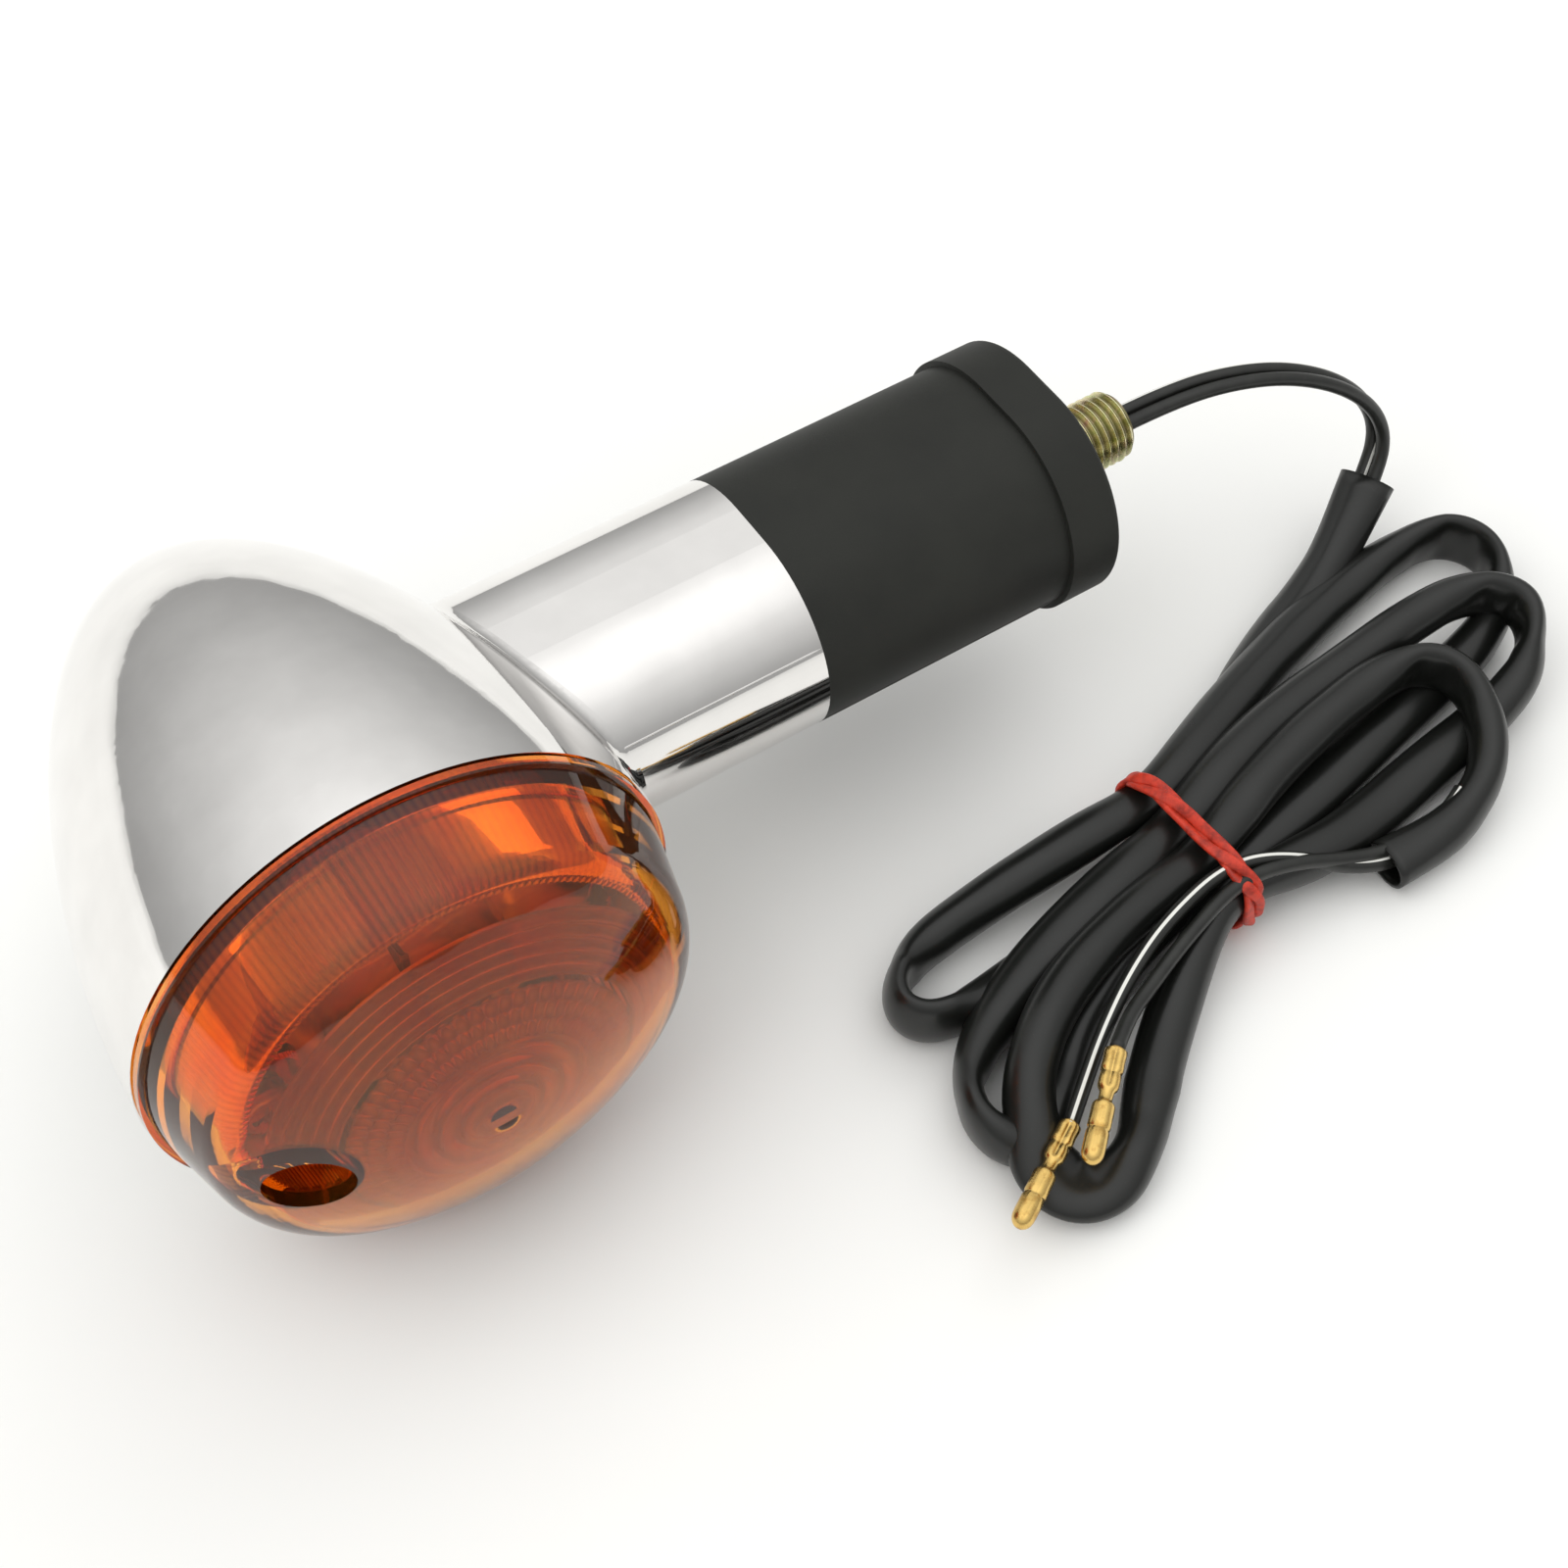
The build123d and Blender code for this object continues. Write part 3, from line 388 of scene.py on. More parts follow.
def yellow_zinc(hex_colour):
    """Yellow chromate on zinc: straw gold drifting to green and pink, with painted shade in the thread's
    grooves.
    """
    material, tree, place = new_material("yellow chromated zinc")
    drift = grain(tree, place, 3.2, detail=2.0, distortion=0.8)
    ramp = add(tree, "ShaderNodeValToRGB", {"Fac": drift})
    steps = ramp.color_ramp.elements
    steps[0].position = 0.28
    steps[0].color = linear("C9C98A")
    steps[1].position = 0.72
    steps[1].color = linear("DDBFAE")
    for position, tone in ((0.42, hex_colour), (0.52, "D8DCA4"), (0.6, "F0E4BC")):
        step = steps.new(position)
        step.color = linear(tone)
    # Painted shade: the thread's grooves are mixed towards dark brown by their depth.
    depth = add(tree, "ShaderNodeAttribute", attribute_name="groove").outputs["Fac"]
    scratches = grain(tree, place, 0.25, detail=3.0)
    return finish(material, tree, {
        "Base Color": mixed(tree, depth, ramp.outputs["Color"], linear("4A3A1C")),
        "Metallic": 1.0,
        "Roughness": spread(tree, scratches, 0.18, 0.36),
        "Normal": relief(tree, scratches, 0.01),
    })


def pressed_brass(hex_colour):
    """Stamped brass, tumbled and a little tarnished: warm gold with darker patches and fine drawing lines."""
    material, tree, place = new_material("stamped brass")
    tarnish = grain(tree, place, 1.6, detail=4.0, roughness=0.65)
    lines = grain(tree, place, 0.18, detail=2.0)
    return finish(material, tree, {
        "Base Color": two_tone(tree, tarnish, "B98E48", hex_colour, 0.3, 0.5),
        "Metallic": 1.0,
        "Roughness": spread(tree, tarnish, 0.34, 0.18),
        "Normal": relief(tree, lines, 0.006),
    })


def moulded_rubber(name, hex_colour, pale, grain_mm, rough_low, rough_high):
    """Moulded carbon-black rubber: near black and matte, with the fine grain of an eroded mould."""
    material, tree, place = new_material(name)
    pores = grain(tree, place, grain_mm, detail=4.0, roughness=0.6)
    bloom = grain(tree, place, 12.0, detail=3.0)
    return finish(material, tree, {
        "Base Color": two_tone(tree, bloom, hex_colour, pale, 0.3, 0.8),
        "Roughness": spread(tree, bloom, rough_low, rough_high),
        "Specular IOR Level": 0.3,
        "Normal": relief(tree, pores, 0.05, 0.6),
    })


def plain_metal(name, dark, light, grain_mm, rough_low, rough_high, depth_mm=0.01):
    """Drawn, soldered, plated or metallised surface: a small-scale change of tone and gloss."""
    material, tree, place = new_material(name)
    tone = grain(tree, place, grain_mm, detail=3.0)
    return finish(material, tree, {
        "Base Color": two_tone(tree, tone, dark, light),
        "Metallic": 1.0,
        "Roughness": spread(tree, tone, rough_low, rough_high),
        "Normal": relief(tree, tone, depth_mm),
    })


def phenolic():
    """Moulded phenolic: dark brown, with wood-flour mottle and a dull gloss."""
    material, tree, place = new_material("moulded phenolic")
    mottle = grain(tree, place, 0.5, detail=4.0, roughness=0.7)
    return finish(material, tree, {
        "Base Color": two_tone(tree, mottle, "2A1610", "4A2A1C"),
        "Roughness": spread(tree, mottle, 0.4, 0.6),
        "Normal": relief(tree, mottle, 0.02),
    })


def blown_glass():
    """Soda-lime bulb glass: colourless, with the slow waviness of blown glass."""
    material, tree, place = new_material("blown glass")
    waves = grain(tree, place, 7.0, detail=1.0)
    return finish(material, tree, {
        "Base Color": two_tone(tree, waves, "F6F8F8", "FFFFFF"),
        "Roughness": 0.01,
        "IOR": 1.52,
        "Transmission Weight": 1.0,
        "Normal": relief(tree, waves, 0.02),
    })


def wire_vinyl(name, striped):
    """Extruded PVC insulation: smooth black with a low gloss, and on the ground wire a printed white stripe."""
    material, tree, place = new_material(name)
    scuff = grain(tree, place, 2.5, detail=3.0)
    base = two_tone(tree, scuff, "151614", "21221F")
    if striped:
        around = add(tree, "ShaderNodeSeparateXYZ", {"Vector": add(tree, "ShaderNodeUVMap").outputs["UV"]})
        wander = add(tree, "ShaderNodeMath", {0: around.outputs["X"], 1: 0.25}, operation="SUBTRACT")
        width = add(tree, "ShaderNodeMath", {0: wander.outputs["Value"]}, operation="ABSOLUTE")
        edge = add(tree, "ShaderNodeMapRange", {
            "Value": width.outputs["Value"], "From Min": 0.04, "From Max": 0.032, "To Min": 0.0, "To Max": 1.0,
        })
        base = mixed(tree, edge.outputs["Result"], base, linear("E4E4DE"))
    return finish(material, tree, {
        "Base Color": base,
        "Roughness": spread(tree, scuff, 0.3, 0.42),
        "Normal": relief(tree, scuff, 0.02),
    })


def wire_finish(striped):
    """The vinyl of a plain or a striped lead wire, made the first time that it is asked for."""
    name = "white-striped vinyl insulation" if striped else "black vinyl insulation"
    return bpy.data.materials.get(name) or wire_vinyl(name, striped)


def sleeve_vinyl(hex_colour):
    """Soft extruded PVC tube: black with a satin gloss, fine draw lines along it and a little dust."""
    material, tree, place = new_material("soft vinyl sleeve")
    scuff = grain(tree, place, 4.0, detail=4.0)
    dust = grain(tree, place, 0.35, detail=2.0, roughness=0.7)
    specks = two_tone(tree, dust, hex_colour, "2A2B28", 0.62, 0.78)
    return finish(material, tree, {
        "Base Color": mixed(tree, scuff, linear(hex_colour), specks),
        "Roughness": spread(tree, scuff, 0.24, 0.36),
        "Specular IOR Level": 0.5,
        "Normal": relief(tree, scuff, 0.06, 0.5),
    })


def red_rubber(hex_colour):
    """Red natural rubber strip: slightly see-through, matte, paler where it is stretched thin."""
    material, tree, place = new_material("red natural rubber")
    stretch = grain(tree, place, 1.4, detail=3.0, roughness=0.6)
    return finish(material, tree, {
        "Base Color": two_tone(tree, stretch, "8E2010", hex_colour, 0.3, 0.6),
        "Roughness": spread(tree, stretch, 0.4, 0.55),
        "Subsurface Weight": 0.35,
        "Subsurface Radius": (1.2 * MM, 0.35 * MM, 0.2 * MM),
        "Subsurface Scale": 1.0,
        "Normal": relief(tree, stretch, 0.12, 0.7),
    })


def painted_floor(hex_colour):
    """Matte painted board: near white, with a very slow change of tone."""
    material, tree, place = new_material("pale painted floor")
    tone = grain(tree, place, 180.0, detail=2.0)
    return finish(material, tree, {
        "Base Color": two_tone(tree, tone, "F0F0EE", hex_colour),
        "Roughness": 0.85,
    })


# ---------------------------------------------------------------- mesh helpers


def round_angles(count):
    """Angles of points spread evenly round a circle."""
    return 2 * np.pi * np.arange(count) / count


def squared(wave, power):
    """A wave from -1 to 1 with fuller shoulders, by a power under 1 that keeps its sign."""
    return np.sign(wave) * np.abs(wave) ** power


def grid_faces(rows, columns, wrap_rows=False, wrap_columns=True):
    """Quads of a grid whose vertex number is row times columns plus column."""
    row = np.arange(rows if wrap_rows else rows - 1)[:, None]
    column = np.arange(columns if wrap_columns else columns - 1)[None, :]
    next_row = (row + 1) % rows
    next_column = (column + 1) % columns
    corners = [
        row * columns + column,
        row * columns + next_column,
        next_row * columns + next_column,
        next_row * columns + column,
    ]
    return np.stack([np.broadcast_to(c, (row.size, column.size)) for c in corners], axis=-1).reshape(-1, 4)


def mesh_object(name, points, faces, material, smooth=True, loops_uv=None, attributes=None):
    """A mesh object from its points and faces; each attribute holds one value for each point."""
    mesh = bpy.data.meshes.new(name)
    mesh.from_pydata(points.reshape(-1, 3).tolist(), [], [face.tolist() for face in faces])
    mesh.materials.append(material)
    mesh.polygons.foreach_set("use_smooth", np.full(len(mesh.polygons), smooth))
    if loops_uv is not None:
        layer = mesh.uv_layers.new(name="UVMap")
        layer.data.foreach_set("uv", loops_uv.astype(np.float32).ravel())
    for label, values in (attributes or {}).items():
        layer = mesh.attributes.new(label, "FLOAT", "POINT")
        layer.data.foreach_set("value", values.astype(np.float32).ravel())
    mesh.update()
    piece = bpy.data.objects.new(name, mesh)
    bpy.context.scene.collection.objects.link(piece)
    return piece


def lamp_points(radius, angle, back):
    """Points from their radius and angle about the lens axis and their distance behind the seam."""
    radius, angle, back = np.broadcast_arrays(radius, angle, back)
    return np.stack([AXIS_X + radius * np.cos(angle), SEAM_Y + back, AXIS_Z + radius * np.sin(angle)], axis=-1)


def inner_dome(radius):
    """Distance behind the seam of the inside of the lens's front, at a radius."""
    sphere = DOME_RADIUS - LENS_WALL
    return -(LENS_DEPTH - LENS_WALL) + sphere - np.sqrt(sphere**2 - radius**2)


def centreline(points_mm):
    """Points along the smooth NURBS line whose control points are the route's, in metres."""
    curve = bpy.data.curves.new("line", "CURVE")
    curve.dimensions = "3D"
    spline = curve.splines.new("NURBS")
    spline.points.add(len(points_mm) - 1)
    controls = np.ones((len(points_mm), 4))
    controls[:, :3] = np.array(points_mm) * MM
    spline.points.foreach_set("co", controls.ravel())
    spline.order_u = 3
    spline.use_endpoint_u = True
    spline.resolution_u = LINE_STEPS
    holder = bpy.data.objects.new("line", curve)
    bpy.context.scene.collection.objects.link(holder)
    line = bpy.data.meshes.new_from_object(holder)
    count = len(line.vertices)
    places = np.empty(count * 3)
    line.vertices.foreach_get("co", places)
    bpy.data.objects.remove(holder)
    bpy.data.meshes.remove(line)
    bpy.data.curves.remove(curve)
    return places.reshape(count, 3)


def arc_lengths(line):
    """Distance along a line at each of its points."""
    return np.concatenate([[0.0], np.cumsum(np.linalg.norm(np.diff(line, axis=0), axis=1))])


def level_frames(line):
    """At each point of a line: its direction, a level side vector and the vector square to both."""
    along = np.gradient(line, axis=0)
    along /= np.linalg.norm(along, axis=1)[:, None]
    side = np.cross(along, [0.0, 0.0, 1.0])
    side /= np.linalg.norm(side, axis=1)[:, None]
    return along, side, np.cross(side, along)


def smoothed(values, width):
    """Running mean over a number of points, with the ends held."""
    padded = np.pad(values, width, mode="edge")
    return np.convolve(padded, np.ones(2 * width + 1) / (2 * width + 1), mode="valid")


def tube_uv(rows, columns, lengths):
    """UV of every loop of a tube: once round for u, metres along for v."""
    u = np.arange(columns + 1) / columns
    corner_u = np.stack([u[:-1], u[1:], u[1:], u[:-1]], axis=-1)
    corner_v = np.stack([lengths[:-1], lengths[:-1], lengths[1:], lengths[1:]], axis=-1)
    shape = (rows - 1, columns, 4)
    return np.stack([
        np.broadcast_to(corner_u[None], shape),
        np.broadcast_to(corner_v[:, None], shape),
    ], axis=-1).reshape(-1, 2)


def round_tube(name, line, radius, material, turn=0.0):
    """Round wire: a circle carried along the line and drawn in to a pinhole at each end.

    Each ring's point is the line plus radius times cos and sin of the angle along the side and upward vectors.
    """
    _, side, upward = level_frames(line)
    columns = 16
    angle = turn + 2 * np.pi * np.arange(columns) / columns
    ends = np.concatenate([[0], np.arange(len(line)), [len(line) - 1]])
    size = np.full(len(ends), radius)
    size[[0, -1]] = radius * PINHOLE
    rings = (
        line[ends][:, None]
        + size[:, None, None] * (
            np.cos(angle)[None, :, None] * side[ends][:, None]
            + np.sin(angle)[None, :, None] * upward[ends][:, None]
        )
    )
    faces = grid_faces(len(ends), columns)
    lengths = arc_lengths(line)[ends]
    return mesh_object(name, rings, faces, material, loops_uv=tube_uv(len(ends), columns, lengths))


def place_piece(piece, body, replaced=()):
    """Rides a piece on its body and hides the CAD nodes that it stands for."""
    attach(piece, body)
    if replaced:
        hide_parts(*replaced)
    return piece


def wire_routes():
    """The feed and the ground wire's routes, side by side along the pair's middle line."""
    offset = WIRE_OFFSET / MM
    feed = [(x, y - offset, z) for x, y, z in LEAD_ROUTE]
    ground = [(x, y + offset, z) for x, y, z in LEAD_ROUTE]
    return feed, ground


# ---------------------------------------------------------------- operators


class TURNSIGNAL_OT_stage(bpy.types.Operator):
    """Add the floor, the studio lights and the camera."""

    bl_idname = "turnsignal.stage"
    bl_label = "Stage"

    def execute(self, context):
        finishes = context.scene.turn_signal_finishes
        half = 4.0  # metres: the floor runs out of sight
        corners = np.array([(-half, -half, 0), (half, -half, 0), (half, half, 0), (-half, half, 0)])
        floor = mesh_object("floor", corners, np.array([[0, 1, 2, 3]]), painted_floor(finishes.floor), False)

        world = bpy.data.worlds.new("studio")
        context.scene.world = world
        world.use_nodes = True
        tree = world.node_tree
        tree.nodes.clear()
        sky = add(tree, "ShaderNodeTexCoord").outputs["Generated"]
        height = add(tree, "ShaderNodeSeparateXYZ", {"Vector": sky}).outputs["Z"]
        shade = add(tree, "ShaderNodeValToRGB", {"Fac": height})
        tones = shade.color_ramp.elements
        tones[0].position = 0.0
        tones[0].color = (0.42, 0.42, 0.415, 1)
        tones[1].position = 1.0
        tones[1].color = (1.5, 1.5, 1.49, 1)
        for position, tone in SKY_TONES:
            made = tones.new(position)
            made.color = (tone, tone, tone * 0.99, 1)
        air = add(tree, "ShaderNodeBackground", {"Color": shade.outputs["Color"], "Strength": 0.95})
        add(tree, "ShaderNodeOutputWorld", {"Surface": air.outputs["Background"]})

        for name, place, aim, size, power, tint in (
            ("key_softbox", (-0.9, 0.1, 1.0), (0.0, 0.0, 0.02), (1.2, 1.2), 6.0, (1.0, 1.0, 0.99)),
            ("rim_softbox", (0.9, 0.6, 0.9), (0.02, 0.0, 0.02), (1.0, 1.0), 3.2, (1.0, 1.0, 1.0)),
        ):
            light = bpy.data.lights.new(name, "AREA")
            light.shape = "RECTANGLE"
            light.size, light.size_y = size
            light.energy = power
            light.color = tint
            lamp = bpy.data.objects.new(name, light)
            lamp.location = place
            lamp.rotation_mode = "QUATERNION"
            lamp.rotation_quaternion = (Vector(aim) - Vector(place)).to_track_quat("-Z", "Y")
            lamp.visible_glossy = False
            context.scene.collection.objects.link(lamp)

        view = bpy.data.cameras.new("camera")
        view.sensor_width = 36.0
        view.lens = FOCAL_LENGTH_MM
        view.clip_start = 0.01
        view.clip_end = 20.0
        camera = bpy.data.objects.new("camera", view)
        camera.location = Vector(CAMERA_PLACE_MM) * MM
        camera.rotation_mode = "QUATERNION"
        target = Vector(CAMERA_TARGET_MM) * MM
        camera.rotation_quaternion = (target - camera.location).to_track_quat("-Z", "Y")
        context.scene.collection.objects.link(camera)
        context.scene.camera = camera
        context.scene.view_settings.view_transform = "Standard"
        return {"FINISHED"}


class TURNSIGNAL_OT_lead_wires(bpy.types.Operator):
    """Add the two wires from the stud's mouth into the sleeve."""

    bl_idname = "turnsignal.lead_wires"
    bl_label = "Lead Wires"

    def execute(self, context):
        feed, ground = wire_routes()
        for name, route, slot, striped in (
            ("feed_lead_wire", feed, "wire_pvc", False),
            ("ground_lead_wire", ground, "striped_wire_pvc", True),
        ):
            line = centreline(route)
            wire = round_tube(name, line, WIRE_RADIUS, wire_finish(striped), turn=STRIPE_TURN)
            place_piece(wire, "lamp", [name.replace("lead_wire", "wire_lead")])
        return {"FINISHED"}


class TURNSIGNAL_OT_sleeve(bpy.types.Operator):
    """Add the thin-walled sleeve, from its mouth round the hank to its open far end.

    A flattened ring is carried along the route. Where the route bends, the tube stands taller and thinner and
    its inner side buckles; under the band it is squeezed. An outer and an inner wall are joined at both ends.
    """

    bl_idname = "turnsignal.sleeve"
    bl_label = "Sleeve"

    def execute(self, context):
        finishes = context.scene.turn_signal_finishes
        line = centreline(SLEEVE_ROUTE + HANK_ROUTE)
        along, side, upward = level_frames(line)
        lengths = arc_lengths(line)
        columns = 28
        angle = round_angles(columns)
        tight_bend = 9.0 * MM
        fold_reach = 9 * MM
        band_reach = 8.0 * MM
        hank_start = 55 * MM
        near_mouth_reach = 14 * MM
        far_mouth_reach = 16 * MM

        heading = np.unwrap(np.arctan2(along[:, 1], along[:, 0]))
        bend = smoothed(np.gradient(heading, lengths), 9)
        tight = np.clip(np.abs(bend) * tight_bend, 0.0, 1.0)
        under_terminals = np.exp(-(np.linalg.norm(line - FOLD_UNDER_TERMINALS, axis=1) / fold_reach) ** 2)
        tight = tight * (1 - 1.6 * under_terminals)
        band_x = (band_low.x + band_high.x) / 2
        in_hank = smoothed((lengths > hank_start).astype(float), 5)
        squeeze = np.exp(-(((line[:, 0] - band_x) / band_reach) ** 2)) * in_hank
        drift = 0.05 * np.sin(lengths / (17 * MM)) + 0.04 * np.sin(lengths / (7.3 * MM) + 1.0)
        near_mouth = np.clip(1 - lengths / near_mouth_reach, 0, 1)
        far_mouth = np.clip(1 - (lengths[-1] - lengths) / far_mouth_reach, 0, 1)
        flatten = 0.42 * tight - 0.10 * (1 - tight) + drift * (1 - near_mouth)
        flatten = flatten - 0.16 * near_mouth - 0.1 * far_mouth
        half_width = SLEEVE_RADIUS * (1 - flatten) * (1 - 0.13 * squeeze)
        half_height = SLEEVE_RADIUS * (1 + 0.85 * flatten) * (1 - 0.30 * squeeze)
        floor_gap = np.maximum(line[:, 2] - 0.4 * MM, 1.9 * MM)
        lift = np.clip(half_height - floor_gap, 0, None)
        line = line + lift[:, None] * np.array([0.0, 0.0, 1.0])

        inner_side = np.where(bend > 0, -1.0, 1.0)
        facing = np.clip(np.cos(angle)[None, :] * inner_side[:, None], 0, 1) ** 3
        buckle = 0.55 * MM * tight[:, None] ** 2 * facing
        buckle *= 0.65 + 0.35 * np.sin(lengths / (0.9 * MM))[:, None]
        crease = 0.16 * MM * np.sin(lengths / (3.1 * MM) + 2 * np.sin(lengths / (11 * MM)))
        crease = (crease * (0.35 + tight))[:, None] * np.sin(3 * angle + 0.7)[None, :] * 0.5

        def wall(inset):
            """Rings of the tube, drawn in by the wall's thickness for its inner surface."""
            reach_side = (half_width[:, None] - inset - buckle + crease) * np.cos(angle)[None, :]
            reach_up = (half_height[:, None] - inset + crease) * np.sin(angle)[None, :]
            return line[:, None] + reach_side[..., None] * side[:, None] + reach_up[..., None] * upward[:, None]

        outer = wall(0.0)
        inner = wall(SLEEVE_WALL)
        rings = np.concatenate([outer, inner[::-1]])
        faces = grid_faces(len(rings), columns, wrap_rows=True)
        sleeve = mesh_object("lead_sleeve_tube", rings, faces, sleeve_vinyl(finishes.sleeve))
        place_piece(sleeve, "lamp", ["lead_sleeve", "lead_hank"])
        return {"FINISHED"}


def terminal_rings(crimp, tip):
    """Rings of a stamped bullet terminal, from its crimp to its rounded tip.

    The radius is a profile over the share of the length. A seam groove runs along the top, and the crimp's two
    wings roll in there, which makes its section heart-shaped.
    """
    columns = 40
    start = np.array(crimp) * MM
    forward = np.array(tip) * MM - start
    forward /= np.linalg.norm(forward)
    side = np.cross(forward, [0.0, 0.0, 1.0])
    side /= np.linalg.norm(side)
    upward = np.cross(side, forward)
    share = np.array([
        0.0, 0.0, 0.012, 0.05, 0.10, 0.15, 0.19, 0.205, 0.22, 0.27, 0.32, 0.345, 0.36, 0.38, 0.41, 0.44,
        0.465, 0.48, 0.495, 0.51, 0.56, 0.62, 0.68, 0.695, 0.705, 0.715, 0.73, 0.80, 0.86, 0.91, 0.935,
        0.955, 0.97, 0.985, 0.995, 1.0,
    ])
    crimped, neck, barrel = CRIMP_RADIUS, TERMINAL_NECK, TERMINAL_RADIUS
    size = np.array([
        0.05 * crimped, 0.9 * crimped, crimped, crimped, 0.97 * crimped, crimped, 0.98 * crimped, 0.8 * crimped,
        0.92 * crimped, 0.95 * crimped, 0.93 * crimped, 0.9 * crimped, 0.8 * crimped, neck, neck, 0.98 * neck,
        1.1 * neck, 0.9 * barrel, 0.98 * barrel, barrel, barrel, barrel, barrel, 0.93 * barrel, 0.9 * barrel,
        0.93 * barrel, barrel, barrel, barrel, 0.97 * barrel, 0.9 * barrel, 0.8 * barrel, 0.68 * barrel,
        0.5 * barrel, 0.3 * barrel, 0.02 * barrel,
    ])
    angle = round_angles(columns)
    from_top = np.abs((angle + 0.5 * np.pi) % (2 * np.pi) - np.pi)
    groove = np.exp(-((from_top / 0.16) ** 2))
    in_crimp = np.clip((0.36 - share) / 0.04, 0, 1) * np.clip(share / 0.01, 0, 1)
    in_barrel = np.clip((share - 0.48) / 0.03, 0, 1) * np.clip((0.96 - share) / 0.03, 0, 1)
    roll = np.exp(-((from_top / 0.4) ** 2))
    depth = 0.36 * in_crimp[:, None] * roll + 0.10 * in_barrel[:, None] * groove
    wide = 1 + 0.10 * in_crimp[:, None] * np.cos(angle)[None, :] ** 2
    radius = size[:, None] * (1 - depth) * wide
    return (
        start + (share * TERMINAL_LENGTH)[:, None, None] * forward
        + (radius * np.cos(angle))[..., None] * side
        + (radius * np.sin(angle))[..., None] * upward
    )


class TURNSIGNAL_OT_free_ends(bpy.types.Operator):
    """Add the wires' free ends, out of the sleeve and under the band, with a stamped terminal on each."""

    bl_idname = "turnsignal.free_ends"
    bl_label = "Free Ends"

    def execute(self, context):
        finishes = context.scene.turn_signal_finishes
        brass = pressed_brass(finishes.brass)
        for name, route, tip, length, slot, striped in (
            ("feed", FEED_TAIL_ROUTE, FEED_TIP, FEED_TAIL_LENGTH, "wire_pvc", False),
            ("ground", GROUND_TAIL_ROUTE, GROUND_TIP, GROUND_TAIL_LENGTH, "striped_wire_pvc", True),
        ):
            rings = terminal_rings(route[-1], tip)
            terminal = mesh_object(f"{name}_bullet", rings, grid_faces(*rings.shape[:2]), brass)
            place_piece(terminal, "lamp", [f"{name}_bullet_terminal"])
            line = centreline(route)
            wire = round_tube(f"{name}_tail_wire", line, WIRE_RADIUS, wire_finish(striped))
            place_piece(wire, "lamp", [f"{name}_wire_tail"])
        return {"FINISHED"}


class TURNSIGNAL_OT_rubber_band(bpy.types.Operator):
    """Add the rubber band: flat strands wound round the hank's waist and twisted over each other.

    Each strand is a closed loop round a rounded rectangle. Its place across the band and its tilt are waves of
    the angle round the loop, a third of a wave apart from strand to strand.
    """

    bl_idname = "turnsignal.rubber_band"
    bl_label = "Rubber Band"

    def execute(self, context):
        details = context.scene.turn_signal_details
        finishes = context.scene.turn_signal_finishes
        rubber = red_rubber(finishes.band)
        centre = (band_low + band_high) / 2
        strand_inset = 0.7 * MM
        half_width = 0.78 * MM
        half_thickness = 0.42 * MM
        sway = 0.95 * MM
        slant = 1.4 * MM * 0.9
        corner_power = 0.62
        half_y = (band_high.y - band_low.y) / 2 - strand_inset
        half_z = (band_high.z - band_low.z) / 2 - strand_inset
        rows, columns = 260, 16
        turn = round_angles(rows)
        section = round_angles(columns)
        count = details.band_strands
        for index in range(count):
            phase = 2 * np.pi * index / count
            y = half_y * squared(np.cos(turn), corner_power)
            z = half_z * squared(np.sin(turn), corner_power)
            across = sway * np.sin(3 * turn + phase) - slant * np.cos(turn)
            outward = half_thickness * np.cos(3 * turn + phase)
            line = np.stack([centre.x + across, centre.y + y, centre.z + z], axis=-1)
            ahead = np.roll(line, -1, axis=0) - np.roll(line, 1, axis=0)
            ahead /= np.linalg.norm(ahead, axis=1)[:, None]
            radial = np.cross(ahead, [1.0, 0.0, 0.0])
            radial /= np.linalg.norm(radial, axis=1)[:, None]
            flat = np.cross(radial, ahead)
            line = line + outward[:, None] * radial
            tilt = 0.7 * np.sin(3 * turn + phase + 0.9)
            wide = np.cos(tilt)[:, None] * flat + np.sin(tilt)[:, None] * radial
            thick = -np.sin(tilt)[:, None] * flat + np.cos(tilt)[:, None] * radial
            pinch = 1 + 0.12 * np.sin(7 * turn + 2 * phase)
            reach_wide = (half_width * pinch)[:, None] * squared(np.cos(section), 0.6)
            reach_thick = half_thickness * squared(np.sin(section), 0.8)
            rings = (
                line[:, None]
                + reach_wide[..., None] * wide[:, None]
                + reach_thick[None, :, None] * thick[:, None]
            )
            strand = mesh_object(
                f"band_strand_{index + 1}", rings, grid_faces(rows, columns, wrap_rows=True), rubber
            )
            place_piece(strand, "lamp", ["rubber_band"])
        return {"FINISHED"}


